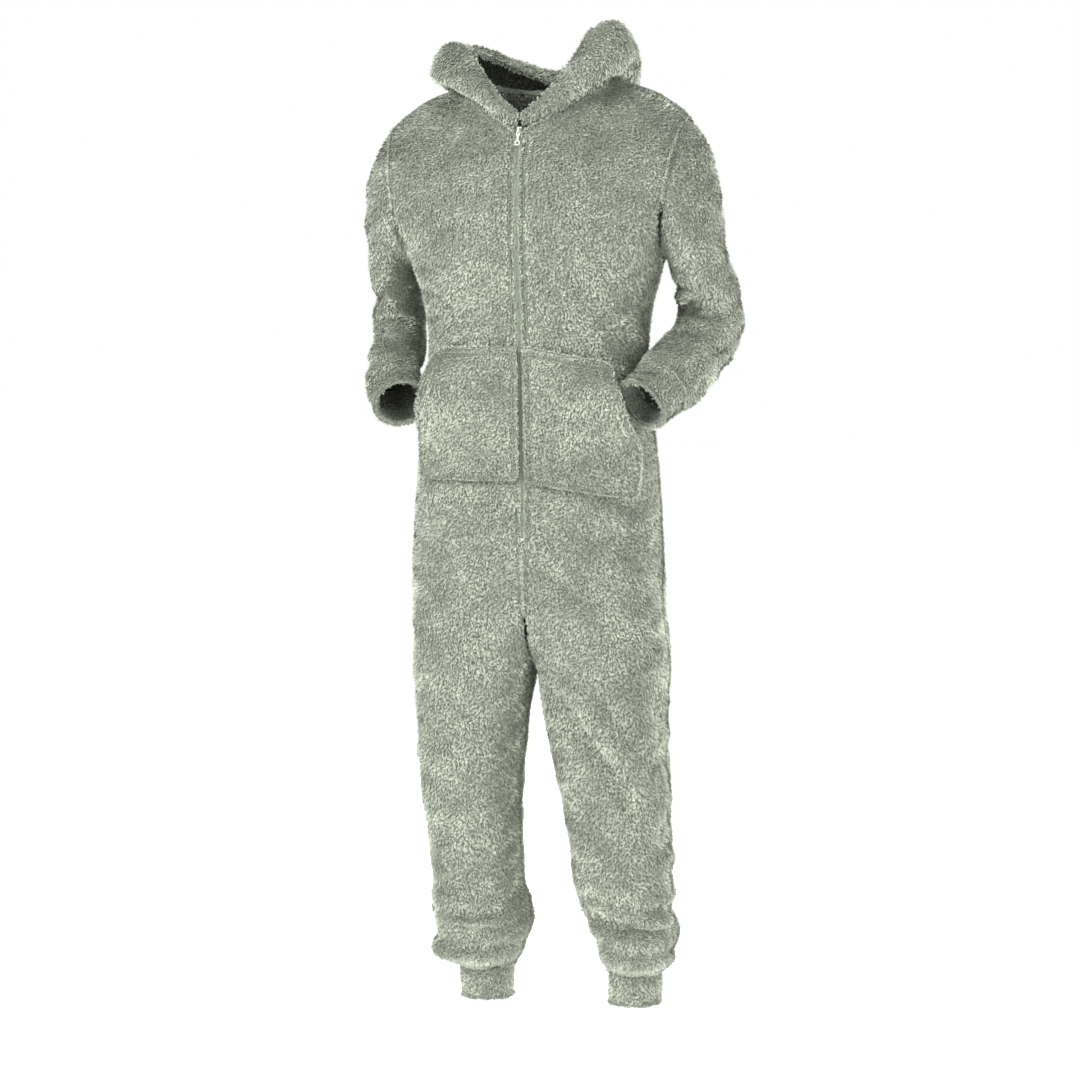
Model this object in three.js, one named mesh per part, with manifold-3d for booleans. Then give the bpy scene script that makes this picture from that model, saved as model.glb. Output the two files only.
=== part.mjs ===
// A hooded one-piece pajama in deep-pile fleece, hollow, in the pose it is worn in.
// Millimetres, +Z up, the front towards -Y, +X towards the wearer's left side.
// The origin is at the base of the neck, between the shoulders.
import * as THREE from "three";
import { mergeVertices } from "three/addons/utils/BufferGeometryUtils.js";
import Module from "manifold-3d";

const wasm = await Module();
wasm.setup();

// Cloth and seams
const FLEECE = 6; // wall of pile fabric
const CUFF_FLEECE = 7;
const SEAM = 0.3; // gap between two pieces at a seam
const PANEL_COLUMNS = 10; // from the centre, or the inseam, to the side seam
const YOKE_ROWS = 8; // from the shoulder seam to the underarm
const RING = 2 * YOKE_ROWS; // points round a sleeve

// Heights
const UNDERARM_Z = -262;
const WAIST_Z = -400;
const ZIP_END_Z = -692;
const CROTCH_CURVE_Z = -734; // the centre seams start to curve under here
const CROTCH_Z = -906;
const CALF_Z = -1255;
const LEG_HEM_Z = -1391;
const LEG_CUFF_END_Z = -1443;

// Zip
const ZIP_HALF = 4.2; // half of the channel between the two fronts
const TAPE = { from: 0.15, to: 3.9, top: -1, bottom: -3.2 };
const SLIDER_Z = -63;
const SLIDER = { width: 7.2, foot: 5, height: 12, thick: 3.2, back: -0.7 };
const BAIL = { width: 2.4, half: 4.6, gap: 2.4, bar: 1.4 };
const TAB = { thick: 1.2, rail: 1.3, window: 5, slot: 3.6, neck: 15, ring: 4.2, hole: 2.5 };

// How the worn garment stands: the shoulders turn and tilt over the hips
const TURN = THREE.MathUtils.degToRad(-5);
const TILT = Math.tan(THREE.MathUtils.degToRad(0.6));
const TURN_FROM_Z = -620;
const TURN_FULL_Z = -130;

// Torso sections: half width, and how far the front and back stand from the side line
const TORSO = [
  { z: UNDERARM_Z, half: 205, front: 120, back: 117 },
  { z: -300, half: 192, front: 119, back: 116 },
  { z: -345, half: 183, front: 117, back: 113 },
  { z: WAIST_Z, half: 177, front: 114, back: 111 },
  { z: -460, half: 181, front: 114, back: 115 },
  { z: -530, half: 189, front: 116, back: 122 },
  { z: -610, half: 197, front: 118, back: 130 },
  { z: ZIP_END_Z, half: 202, front: 119, back: 133 },
  { z: -800, half: 206, front: 117, back: 128 },
  { z: CROTCH_Z, half: 209, front: 112, back: 118 },
];

// Leg sections: where the inseam and outseam are, and the depth to front and back
const LEGS = {
  left: [
    { z: CROTCH_Z, outer: 216, inner: 0, front: 112, back: 118 },
    { z: -960, outer: 214, inner: 7, front: 108, back: 113 },
    { z: -1040, outer: 214, inner: 23, front: 101, back: 106 },
    { z: -1120, outer: 218, inner: 41, front: 96, back: 100 },
    { z: -1200, outer: 219, inner: 55, front: 91, back: 95 },
    { z: CALF_Z, outer: 221, inner: 60, front: 87, back: 91 },
    { z: -1290, outer: 219, inner: 70, front: 84, back: 89 },
    { z: -1312, outer: 234, inner: 78, front: 91, back: 95 },
    { z: -1341, outer: 231, inner: 91, front: 84, back: 88 },
    { z: -1366, outer: 227, inner: 102, front: 85, back: 87 },
    { z: -1383, outer: 219, inner: 110, front: 72, back: 72 },
    { z: LEG_HEM_Z, outer: 205, inner: 114, front: 46, back: 46 },
    { z: LEG_CUFF_END_Z, outer: 202, inner: 116, front: 43, back: 43 },
  ],
  right: [
    { z: CROTCH_Z, outer: 204, inner: 0, front: 112, back: 118 },
    { z: -960, outer: 200, inner: 12, front: 107, back: 112 },
    { z: -1040, outer: 194, inner: 21, front: 100, back: 105 },
    { z: -1120, outer: 188, inner: 28, front: 94, back: 98 },
    { z: -1200, outer: 178, inner: 26, front: 89, back: 93 },
    { z: CALF_Z, outer: 171, inner: 24, front: 85, back: 89 },
    { z: -1290, outer: 178, inner: 8, front: 88, back: 90 },
    { z: -1312, outer: 179, inner: 6, front: 91, back: 93 },
    { z: -1341, outer: 168, inner: 14, front: 84, back: 87 },
    { z: -1366, outer: 178, inner: 24, front: 84, back: 86 },
    { z: -1383, outer: 170, inner: 32, front: 71, back: 71 },
    { z: LEG_HEM_Z, outer: 129, inner: 38, front: 46, back: 46 },
    { z: LEG_CUFF_END_Z, outer: 126, inner: 40, front: 43, back: 43 },
  ],
};
const SQUARE = 2.4; // exponent of the superellipse that the sections follow

// Edges of the upper panels
const NECK_SIDE = new THREE.Vector3(114, 12, 24);
const SHOULDER_TIP = new THREE.Vector3(243, 12, -32);
const SHOULDER_MIDDLE = new THREE.Vector3(184, 12, 6);
const NECK_FRONT = [
  { x: 0, y: -97, z: -56 },
  { x: 40, y: -89, z: -46 },
  { x: 82, y: -58, z: -17 },
  { x: 108, y: -22, z: 11 },
];
const NECK_BACK = [
  { x: 104, y: 44, z: 20 },
  { x: 62, y: 68, z: 12 },
  { x: 0, y: 78, z: 6 },
];
const ARMHOLE_FRONT = [
  { x: 240, y: -24, z: -55 },
  { x: 231, y: -60, z: -102 },
  { x: 223, y: -75, z: -154 },
  { x: 215, y: -66, z: -208 },
  { x: 208, y: -34, z: -247 },
];
const ARMHOLE_BACK = [
  { x: 241, y: 48, z: -55 },
  { x: 233, y: 78, z: -102 },
  { x: 225, y: 90, z: -154 },
  { x: 216, y: 78, z: -208 },
  { x: 208, y: 40, z: -247 },
];
const CENTRE_FRONT = [
  { y: -110, z: -100 },
  { y: -118, z: -165 },
];
const CENTRE_BACK = [
  { y: 104, z: -60 },
  { y: 118, z: -160 },
];

// Sleeves: middle line of the arm from the biceps down, with the half widths across and deep
const ARMS = {
  left: [
    { x: 260, y: 18, z: -272, across: 48, deep: 66 },
    { x: 266, y: 34, z: -308, across: 54, deep: 65 },
    { x: 270, y: 46, z: -348, across: 57, deep: 62 },
    { x: 263, y: 20, z: -392, across: 58, deep: 60 },
    { x: 243, y: -28, z: -426, across: 58, deep: 59 },
    { x: 222, y: -68, z: -450, across: 57, deep: 57 },
    { x: 213, y: -86, z: -462, across: 48, deep: 48 },
    { x: 191, y: -115, z: -485, across: 45, deep: 45 },
  ],
  right: [
    { x: 249, y: 26, z: -272, across: 37, deep: 66 },
    { x: 248, y: 42, z: -308, across: 41, deep: 65 },
    { x: 247, y: 52, z: -348, across: 46, deep: 62 },
    { x: 241, y: 26, z: -392, across: 47, deep: 60 },
    { x: 231, y: -24, z: -424, across: 47, deep: 57 },
    { x: 221, y: -68, z: -450, across: 50, deep: 54 },
    { x: 210, y: -86, z: -462, across: 47, deep: 47 },
    { x: 195, y: -113, z: -483, across: 45, deep: 45 },
  ],
};
const CAP_ROWS = 5; // rows from the armhole to the biceps
const ARM_ROWS = 15;
const ARM_EASE = 0.2; // share of the arm over which the rings turn with its bend
const ARM_CUFF_ROWS = 3;

// Hood, lying down: sections from the zip round to the centre back, seen square to the neck.
// Each goes from the neck seam to the pouch behind, out to the bulge, and up over the rim.
const HOODS = {
  left: [
    { at: 0, tuck: 1, drop: -8, bulge: 2, mid: 12, rimOut: 2, rimUp: 16, edgeOut: -2, edgeUp: 22 },
    { at: 0.2, tuck: 5, drop: -14, bulge: 14, mid: 24, rimOut: 8, rimUp: 52, edgeOut: -12, edgeUp: 56 },
    { at: 0.38, tuck: 7, drop: -8, bulge: 30, mid: 44, rimOut: 10, rimUp: 94, edgeOut: -24, edgeUp: 84 },
    { at: 0.55, tuck: 12, drop: -6, bulge: 48, mid: 42, rimOut: 14, rimUp: 96, edgeOut: -30, edgeUp: 78 },
    { at: 0.7, tuck: 36, drop: 60, bulge: 84, mid: 8, rimOut: 40, rimUp: 88, edgeOut: -6, edgeUp: 62 },
    { at: 0.85, tuck: 50, drop: 176, bulge: 104, mid: -62, rimOut: 56, rimUp: 72, edgeOut: 14, edgeUp: 40 },
    { at: 1, tuck: 56, drop: 222, bulge: 112, mid: -86, rimOut: 68, rimUp: 58, edgeOut: 26, edgeUp: 24 },
  ],
  right: [
    { at: 0, tuck: 1, drop: -8, bulge: 2, mid: 12, rimOut: 2, rimUp: 16, edgeOut: -2, edgeUp: 22 },
    { at: 0.2, tuck: 5, drop: -14, bulge: 14, mid: 22, rimOut: 8, rimUp: 46, edgeOut: -10, edgeUp: 48 },
    { at: 0.38, tuck: 9, drop: -8, bulge: 58, mid: 24, rimOut: 30, rimUp: 68, edgeOut: -8, edgeUp: 56 },
    { at: 0.55, tuck: 14, drop: 1, bulge: 84, mid: 14, rimOut: 50, rimUp: 74, edgeOut: -8, edgeUp: 54 },
    { at: 0.7, tuck: 36, drop: 60, bulge: 94, mid: 2, rimOut: 46, rimUp: 76, edgeOut: -4, edgeUp: 50 },
    { at: 0.85, tuck: 50, drop: 176, bulge: 104, mid: -64, rimOut: 56, rimUp: 66, edgeOut: 14, edgeUp: 36 },
    { at: 1, tuck: 56, drop: 222, bulge: 112, mid: -86, rimOut: 68, rimUp: 58, edgeOut: 26, edgeUp: 24 },
  ],
};
const HOOD_ROWS = 13;

// Pocket: the outer edge at each height, and how far a hand holds it off the front there
const POCKET_EDGE = [
  { v: 0, x: 132, stand: 0 },
  { v: 0.12, x: 146, stand: 36 },
  { v: 0.34, x: 160, stand: 54 },
  { v: 0.5, x: 169, stand: 42 },
  { v: 0.62, x: 174, stand: 10 },
  { v: 0.72, x: 174, stand: 0 },
  { v: 1, x: 171, stand: 0 },
];
const POCKETS = {
  left: { top: -395, bottom: -606, drop: 27 },
  right: { top: -396, bottom: -603, drop: 0 },
};
const POCKET_ROWS = 10;
const POCKET_COLUMNS = 9;
const POCKET_FLEECE = 5;
const POCKET_REST = 0.5; // between the pocket and the front, at the zip
const POCKET_REST_SIDE = 2.2; // and where the front turns to the side

// Folds: troughs from one point to another, across from the front centre or inseam (-1)
// over the side seam (0) to the back centre or inseam (1). A negative depth is a ridge.
const FOLDS = {
  left: [
    { u0: -0.82, z0: -800, u1: -0.46, z1: -1060, wide: 24, deep: 11 },
    { u0: -0.46, z0: -1060, u1: -0.14, z1: -1230, wide: 26, deep: 12 },
    { u0: -0.66, z0: -860, u1: -0.3, z1: -1120, wide: 22, deep: -7 },
    { u0: -0.86, z0: -930, u1: -0.5, z1: -1190, wide: 22, deep: 8 },
    { u0: -0.6, z0: -780, u1: -0.24, z1: -980, wide: 24, deep: 7 },
    { u0: -0.16, z0: -770, u1: 0.1, z1: -812, wide: 17, deep: 7 },
    { u0: -0.12, z0: -862, u1: 0.14, z1: -826, wide: 17, deep: 7 },
    { u0: -0.2, z0: -930, u1: 0.08, z1: -972, wide: 18, deep: 8 },
    { u0: -0.1, z0: -1046, u1: 0.16, z1: -1010, wide: 18, deep: 8 },
    { u0: -0.22, z0: -1100, u1: 0.1, z1: -1140, wide: 19, deep: 8 },
    { u0: -0.95, z0: -1296, u1: -0.1, z1: -1330, wide: 13, deep: 9 },
    { u0: -0.6, z0: -1352, u1: 0.2, z1: -1344, wide: 11, deep: 6 },
    { u0: 0.78, z0: -820, u1: 0.4, z1: -1050, wide: 24, deep: 10 },
    { u0: 0.85, z0: -960, u1: 0.45, z1: -1180, wide: 24, deep: 9 },
    { u0: 0.9, z0: -1290, u1: 0.25, z1: -1322, wide: 13, deep: 9 },
    { u0: 0.75, z0: -430, u1: 0.2, z1: -470, wide: 24, deep: 7 },
    { u0: 0.8, z0: -520, u1: 0.25, z1: -500, wide: 24, deep: 6 },
    { u0: -0.4, z0: -290, u1: -0.1, z1: -372, wide: 22, deep: 7 },
  ],
  right: [
    { u0: -0.8, z0: -820, u1: -0.4, z1: -1010, wide: 24, deep: 7 },
    { u0: -0.62, z0: -980, u1: -0.3, z1: -1180, wide: 25, deep: 7 },
    { u0: -0.2, z0: -840, u1: 0.06, z1: -884, wide: 18, deep: 6 },
    { u0: -0.12, z0: -1000, u1: 0.14, z1: -960, wide: 18, deep: 6 },
    { u0: -0.2, z0: -1090, u1: 0.1, z1: -1130, wide: 19, deep: 6 },
    { u0: -0.75, z0: -1208, u1: -0.25, z1: -1246, wide: 18, deep: 6 },
    { u0: -0.9, z0: -1276, u1: -0.15, z1: -1300, wide: 13, deep: 8 },
    { u0: -0.8, z0: -1340, u1: 0.1, z1: -1326, wide: 12, deep: 8 },
    { u0: 0.78, z0: -830, u1: 0.38, z1: -1070, wide: 24, deep: 10 },
    { u0: 0.82, z0: -980, u1: 0.4, z1: -1200, wide: 24, deep: 8 },
    { u0: 0.9, z0: -1280, u1: 0.2, z1: -1310, wide: 13, deep: 9 },
    { u0: 0.78, z0: -452, u1: 0.25, z1: -440, wide: 24, deep: 7 },
    { u0: 0.7, z0: -540, u1: 0.2, z1: -560, wide: 24, deep: 6 },
    { u0: -0.42, z0: -300, u1: -0.12, z1: -366, wide: 22, deep: 7 },
  ],
};
const FOLD_REACH = 285; // cloth from centre to side seam, to measure across a fold

// Folds round the sleeves: where along the arm, at which angle it is deepest, how slanted
const SLEEVE_FOLDS = {
  left: [
    { along: 0.3, angle: 20, slant: 14, wide: 15, deep: 6 },
    { along: 0.44, angle: 100, slant: -12, wide: 14, deep: 9 },
    { along: 0.55, angle: 110, slant: 10, wide: 13, deep: 9 },
    { along: 0.66, angle: 30, slant: -12, wide: 14, deep: 8 },
    { along: 0.78, angle: -40, slant: 12, wide: 13, deep: 8 },
    { along: 0.9, angle: 10, slant: -6, wide: 11, deep: 7 },
  ],
  right: [
    { along: 0.3, angle: 60, slant: -14, wide: 15, deep: 6 },
    { along: 0.43, angle: 100, slant: 12, wide: 14, deep: 9 },
    { along: 0.54, angle: 80, slant: -12, wide: 13, deep: 9 },
    { along: 0.65, angle: 40, slant: 10, wide: 14, deep: 8 },
    { along: 0.78, angle: 10, slant: -10, wide: 13, deep: 8 },
    { along: 0.9, angle: 30, slant: 8, wide: 11, deep: 7 },
  ],
};

const SIDES = [
  { name: "left", sign: 1 },
  { name: "right", sign: -1 },
];

const { lerp, clamp, smoothstep } = THREE.MathUtils;
const vec = (p) => new THREE.Vector3(p.x ?? 0, p.y, p.z);

// Value of a column of a table at a key, with smooth slopes that never overshoot the rows
function columnAt(table, key, column, at) {
  const rising = table[1][key] > table[0][key];
  const rows = rising ? table : [...table].reverse();
  const x = clamp(at, rows[0][key], rows[rows.length - 1][key]);
  let i = 0;
  while (i < rows.length - 2 && x > rows[i + 1][key]) i += 1;
  const secant = (j) => {
    const k = clamp(j, 0, rows.length - 2);
    return (rows[k + 1][column] - rows[k][column]) / (rows[k + 1][key] - rows[k][key]);
  };
  const slope = (j) => {
    const before = secant(j - 1);
    const after = secant(j);
    return before * after > 0 ? (2 * before * after) / (before + after) : 0;
  };
  const span = rows[i + 1][key] - rows[i][key];
  const t = (x - rows[i][key]) / span;
  const low = rows[i][column];
  const high = rows[i + 1][column];
  const ease = t * t * (3 - 2 * t);
  const start = t * (1 - t) * (1 - t) * span * slope(i);
  const end = t * t * (t - 1) * span * slope(i + 1);
  return lerp(low, high, ease) + start + end;
}

// Evenly spaced points along a line of points
function resample(points, pieces) {
  const length = [0];
  for (let i = 1; i < points.length; i += 1) {
    length.push(length[i - 1] + points[i].distanceTo(points[i - 1]));
  }
  const total = length[length.length - 1];
  let i = 1;
  return Array.from({ length: pieces + 1 }, (_, k) => {
    const at = (total * k) / pieces;
    while (i < points.length - 1 && length[i] < at) i += 1;
    const t = (at - length[i - 1]) / (length[i] - length[i - 1]);
    return points[i - 1].clone().lerp(points[i], clamp(t, 0, 1));
  });
}

function smoothLine(points, pieces) {
  const curve = new THREE.CatmullRomCurve3(points, false, "centripetal");
  return resample(curve.getPoints(pieces * 12), pieces);
}

const rounded = (value) => Math.sign(value) * Math.abs(value) ** (2 / SQUARE);

// One quarter section, from the centre or inseam to the side seam, at a height.
// Above the crotch the centre seam curves under, so the section closes in on itself.
function quarterSection(side, z, column, sign) {
  const inLeg = z <= CROTCH_Z;
  const legs = LEGS[side];
  const depth = columnAt(inLeg ? legs : TORSO, "z", column, z);
  const under = clamp((CROTCH_CURVE_Z - z) / (CROTCH_CURVE_Z - CROTCH_Z), 0, 1);
  const blend = smoothstep(CROTCH_CURVE_Z - z, 0, CROTCH_CURVE_Z - CROTCH_Z);
  const own = legs[0].outer - TORSO[TORSO.length - 1].half;
  const outer = inLeg ? columnAt(legs, "z", "outer", z) : columnAt(TORSO, "z", "half", z) + own * blend;
  const inner = inLeg ? columnAt(legs, "z", "inner", z) : 0;
  const across = (outer - inner) / (1 + under);
  const centre = outer - across;
  const sweep = Math.PI / 2 + Math.asin(under ** (SQUARE / 2));
  const steps = 90;
  const line = Array.from({ length: steps + 1 }, (_, i) => {
    const angle = sweep * (1 - i / steps);
    const y = sign * depth * rounded(Math.sin(angle));
    return new THREE.Vector3(centre + across * rounded(Math.cos(angle)), y, z);
  });
  return resample(line, PANEL_COLUMNS);
}

// A four-sided patch from its four edges; rows run from the top edge to the bottom edge
function patch(top, bottom, first, last) {
  const rows = first.length - 1;
  const columns = top.length - 1;
  return first.map((_, r) => {
    const v = r / rows;
    return top.map((__, c) => {
      const u = c / columns;
      const point = new THREE.Vector3();
      point.addScaledVector(top[c], 1 - v).addScaledVector(bottom[c], v);
      point.addScaledVector(first[r], 1 - u).addScaledVector(last[r], u);
      point.addScaledVector(top[0], -(1 - u) * (1 - v));
      point.addScaledVector(top[columns], -u * (1 - v));
      point.addScaledVector(bottom[0], -(1 - u) * v);
      point.addScaledVector(bottom[columns], -u * v);
      return point;
    });
  });
}

// Heights of the rows below the underarm
function rowHeights() {
  const spans = [
    { to: WAIST_Z, steps: 4 },
    { to: ZIP_END_Z, steps: 10 },
    { to: CROTCH_Z, steps: 7 },
    { to: CALF_Z, steps: 11 },
    { to: LEG_HEM_Z, steps: 10 },
  ];
  const heights = [UNDERARM_Z];
  for (const span of spans) {
    const from = heights[heights.length - 1];
    for (let i = 1; i <= span.steps; i += 1) heights.push(lerp(from, span.to, i / span.steps));
  }
  return heights;
}

// The front or back of one side, from shoulder to ankle, as rows from the centre to the side
function panelGrid(side, face) {
  const front = face === "front";
  const sign = front ? -1 : 1;
  const neckColumns = PANEL_COLUMNS / 2;
  const lower = rowHeights().map((z) => quarterSection(side, z, face, sign));
  const neckPoints = (front ? NECK_FRONT : [...NECK_BACK].reverse()).map(vec);
  const neck = smoothLine([...neckPoints, NECK_SIDE], neckColumns);
  const shoulder = smoothLine([NECK_SIDE, SHOULDER_MIDDLE, SHOULDER_TIP], PANEL_COLUMNS - neckColumns);
  const top = [...neck, ...shoulder.slice(1)];
  const bottom = lower[0];
  const centre = front ? CENTRE_FRONT : CENTRE_BACK;
  const armhole = front ? ARMHOLE_FRONT : ARMHOLE_BACK;
  const first = smoothLine([top[0], ...centre.map(vec), bottom[0]], YOKE_ROWS);
  const last = smoothLine([SHOULDER_TIP, ...armhole.map(vec), bottom[PANEL_COLUMNS]], YOKE_ROWS);
  const yoke = patch(top, bottom, first, last);
  return [...yoke.slice(0, -1), ...lower];
}

// Rings round a line of stations: across points outwards from the body, deep to the front
function rings(stations, rows) {
  const line = new THREE.CatmullRomCurve3(stations.map(vec), false, "centripetal");
  const along = stations.map((station, i) => ({ ...station, at: i / (stations.length - 1) }));
  return Array.from({ length: rows + 1 }, (_, r) => {
    const t = r / rows;
    const centre = line.getPoint(t);
    const before = line.getPoint(Math.max(t - ARM_EASE, 0));
    const ahead = line.getPoint(Math.min(t + ARM_EASE, 1)).sub(before).normalize();
    const out = new THREE.Vector3(1, 0, 0).addScaledVector(ahead, -ahead.x).normalize();
    const forward = ahead.clone().cross(out);
    const across = columnAt(along, "at", "across", t);
    const deep = columnAt(along, "at", "deep", t);
    return Array.from({ length: RING }, (__, k) => {
      const angle = (2 * Math.PI * k) / RING;
      const point = centre.clone().addScaledVector(out, across * Math.cos(angle));
      return point.addScaledVector(forward, deep * Math.sin(angle));
    });
  });
}

// The sleeve: a cap that leaves the armhole and eases into the rings of the arm
function sleeveGrid(side, front, back) {
  const stations = ARMS[side].slice(0, -1);
  const arm = rings(stations, ARM_ROWS);
  const armhole = [];
  for (let r = 0; r <= YOKE_ROWS; r += 1) armhole.push(front[r][PANEL_COLUMNS]);
  for (let r = YOKE_ROWS - 1; r > 0; r -= 1) armhole.push(back[r][PANEL_COLUMNS]);
  const leave = new THREE.Vector3(1, 0, -0.75).normalize();
  const arrive = vec(stations[1]).sub(vec(stations[0])).normalize();
  const cap = Array.from({ length: CAP_ROWS }, (_, r) => {
    const t = r / CAP_ROWS;
    return armhole.map((start, k) => {
      const end = arm[0][k];
      const reach = start.distanceTo(end);
      const point = start.clone().multiplyScalar((1 + 2 * t) * (1 - t) ** 2);
      point.addScaledVector(leave, reach * t * (1 - t) ** 2);
      point.addScaledVector(end, t * t * (3 - 2 * t));
      return point.addScaledVector(arrive, reach * t * t * (t - 1));
    });
  });
  return [...cap, ...arm];
}

// The hood from the neck seam to its free edge, as rows of stations from the zip to the back
function hoodGrid(side, neck) {
  const end = neck.length - 1;
  const sections = neck.map((base, i) => {
    const at = i / end;
    const value = (column) => columnAt(HOODS[side], "at", column, at);
    const before = neck[Math.max(i - 1, 0)];
    const after = neck[Math.min(i + 1, end)];
    const out = new THREE.Vector3(after.y - before.y, before.x - after.x, 0).normalize();
    if (i === 0) out.set(0, -1, 0);
    if (i === end) out.set(0, 1, 0);
    const place = (outwards, up) => base.clone().addScaledVector(out, outwards).add(vec({ y: 0, z: up }));
    const drop = value("drop");
    const tuck = value("tuck");
    const bulge = value("bulge");
    const rise = lerp(4, 11, smoothstep(at, 0, 0.3));
    const points = [
      place(0, 0),
      place(tuck * 0.08, rise),
      place(tuck * 0.4, rise + 1),
      place(tuck, -drop * 0.45 + 4),
      place((tuck + bulge) / 2, -drop),
      place(bulge, value("mid")),
      place(value("rimOut"), value("rimUp")),
      place(value("edgeOut"), value("edgeUp")),
    ];
    const [seam, ...rest] = points;
    return [seam, ...smoothLine(rest, HOOD_ROWS - 1)];
  });
  return Array.from({ length: HOOD_ROWS + 1 }, (_, r) => sections.map((section) => section[r]));
}

// The worn pose, from the hips up: the shoulders turned and tilted
function posed(p) {
  const share = smoothstep(p.z, TURN_FROM_Z, TURN_FULL_Z);
  const turned = p.clone().applyAxisAngle(new THREE.Vector3(0, 0, 1), TURN * share);
  turned.z += TILT * p.x * share;
  return turned;
}

function acrossAt(z) {
  const share = smoothstep(z, TURN_FROM_Z, TURN_FULL_Z);
  return new THREE.Vector3(1, 0, 0).applyAxisAngle(new THREE.Vector3(0, 0, 1), TURN * share);
}

// How far the folds move a point of a panel inwards
function foldDepth(folds, u, z) {
  const fade = 1 - smoothstep(Math.abs(u), 0.86, 1);
  const sum = folds.reduce((total, fold) => {
    const across = (fold.u1 - fold.u0) * FOLD_REACH;
    const down = fold.z1 - fold.z0;
    const toU = (u - fold.u0) * FOLD_REACH;
    const toZ = z - fold.z0;
    const share = clamp((toU * across + toZ * down) / (across ** 2 + down ** 2), 0, 1);
    const away = Math.hypot(toU - share * across, toZ - share * down) / fold.wide;
    return total + fold.deep * (0.45 + 0.55 * Math.sin(Math.PI * share)) * Math.exp(-(away ** 2));
  }, 0);
  return sum * fade;
}

function sleeveFoldDepth(folds, row, rows, k) {
  const angle = (360 * k) / RING;
  const length = 420;
  return folds.reduce((total, fold) => {
    const round = Math.cos(THREE.MathUtils.degToRad(angle - fold.angle));
    const away = (row / rows - fold.along) * length + fold.slant * round;
    return total + fold.deep * (0.35 + 0.65 * Math.max(round, 0)) * Math.exp(-((away / fold.wide) ** 2));
  }, 0);
}

// A sheet is a grid of points on the outside of a piece of cloth
function makeSheet(name, side, grid, options = {}) {
  const mirrored = grid.map((row) => row.map((p) => posed(new THREE.Vector3(p.x * side.sign, p.y, p.z))));
  const turn = (options.turn ?? 1) * side.sign;
  const plainSheet = { name, side, plain: grid, grid: mirrored, wall: FLEECE, closed: false, depth: () => 0 };
  return { ...plainSheet, ...options, turn };
}

const keyOf = (p) => [p.x, p.y, p.z].map((value) => Math.round(value * 1000)).join(",");

// Normals of a group of sheets that share their edge points, so that walls meet at seams
function shareNormals(sheets) {
  const sums = new Map();
  for (const sheet of sheets) {
    const { grid, closed, turn } = sheet;
    const columns = grid[0].length;
    for (let r = 0; r < grid.length - 1; r += 1) {
      for (let c = 0; c < (closed ? columns : columns - 1); c += 1) {
        const next = (c + 1) % columns;
        const corners = [grid[r][c], grid[r][next], grid[r + 1][c], grid[r + 1][next]];
        const down = corners[3].clone().sub(corners[0]);
        const up = corners[1].clone().sub(corners[2]);
        const normal = down.cross(up).multiplyScalar(turn);
        for (const corner of corners) {
          const key = keyOf(corner);
          if (!sums.has(key)) sums.set(key, new THREE.Vector3());
          sums.get(key).add(normal);
        }
      }
    }
  }
  for (const sheet of sheets) {
    sheet.normals = sheet.grid.map((row) => row.map((p) => sums.get(keyOf(p)).clone().normalize()));
  }
}

// Moves the points of a group of sheets by their folds, then works out the normals again
function crease(sheets) {
  shareNormals(sheets);
  const moved = sheets.map((sheet) =>
    sheet.grid.map((row, r) =>
      row.map((p, c) => p.clone().addScaledVector(sheet.normals[r][c], -sheet.depth(r, c))),
    ),
  );
  sheets.forEach((sheet, i) => {
    sheet.grid = moved[i];
  });
  shareNormals(sheets);
}

// Moves an edge of a wall into its own piece, square to the seam, by half of the seam gap
function easeEdges(rows, closed, amount) {
  const last = rows.length - 1;
  const shift = (line, inner) =>
    line.map((p, i) => {
      const before = line[closed ? (i + line.length - 1) % line.length : Math.max(i - 1, 0)];
      const after = line[closed ? (i + 1) % line.length : Math.min(i + 1, line.length - 1)];
      const edge = after.clone().sub(before).normalize();
      const inwards = inner[i].clone().sub(p);
      return inwards.addScaledVector(edge, -inwards.dot(edge)).setLength(amount);
    });
  const top = shift(rows[0], rows[1]);
  const bottom = shift(rows[last], rows[last - 1]);
  return { top, bottom };
}

// A closed wall from its outer and inner grids
function wallGeometry(outer, inner, closed, turn) {
  const rows = outer.length;
  const columns = outer[0].length;
  const cells = closed ? columns : columns - 1;
  const points = [...outer.flat(), ...inner.flat()];
  const index = (layer, r, c) => layer * rows * columns + r * columns + (c % columns);
  const faces = [];
  const quad = (a, b, c, d) => {
    const near = points[a].distanceTo(points[c]) <= points[b].distanceTo(points[d]);
    const pair = near ? [a, b, c, a, c, d] : [a, b, d, b, c, d];
    if (turn > 0) faces.push(...pair);
    else faces.push(...pair.reverse());
  };
  for (let r = 0; r < rows - 1; r += 1) {
    for (let c = 0; c < cells; c += 1) {
      quad(index(0, r, c), index(0, r + 1, c), index(0, r + 1, c + 1), index(0, r, c + 1));
      quad(index(1, r, c), index(1, r, c + 1), index(1, r + 1, c + 1), index(1, r + 1, c));
    }
  }
  for (let c = 0; c < cells; c += 1) {
    quad(index(0, 0, c), index(0, 0, c + 1), index(1, 0, c + 1), index(1, 0, c));
    const end = rows - 1;
    quad(index(0, end, c), index(1, end, c), index(1, end, c + 1), index(0, end, c + 1));
  }
  if (!closed) {
    for (let r = 0; r < rows - 1; r += 1) {
      const end = columns - 1;
      quad(index(0, r, 0), index(1, r, 0), index(1, r + 1, 0), index(0, r + 1, 0));
      quad(index(0, r, end), index(0, r + 1, end), index(1, r + 1, end), index(1, r, end));
    }
  }
  const geometry = new THREE.BufferGeometry();
  const coordinates = points.flatMap((p) => [p.x, p.y, p.z]);
  geometry.setAttribute("position", new THREE.Float32BufferAttribute(coordinates, 3));
  geometry.setIndex(faces);
  geometry.computeVertexNormals();
  return geometry;
}

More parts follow.
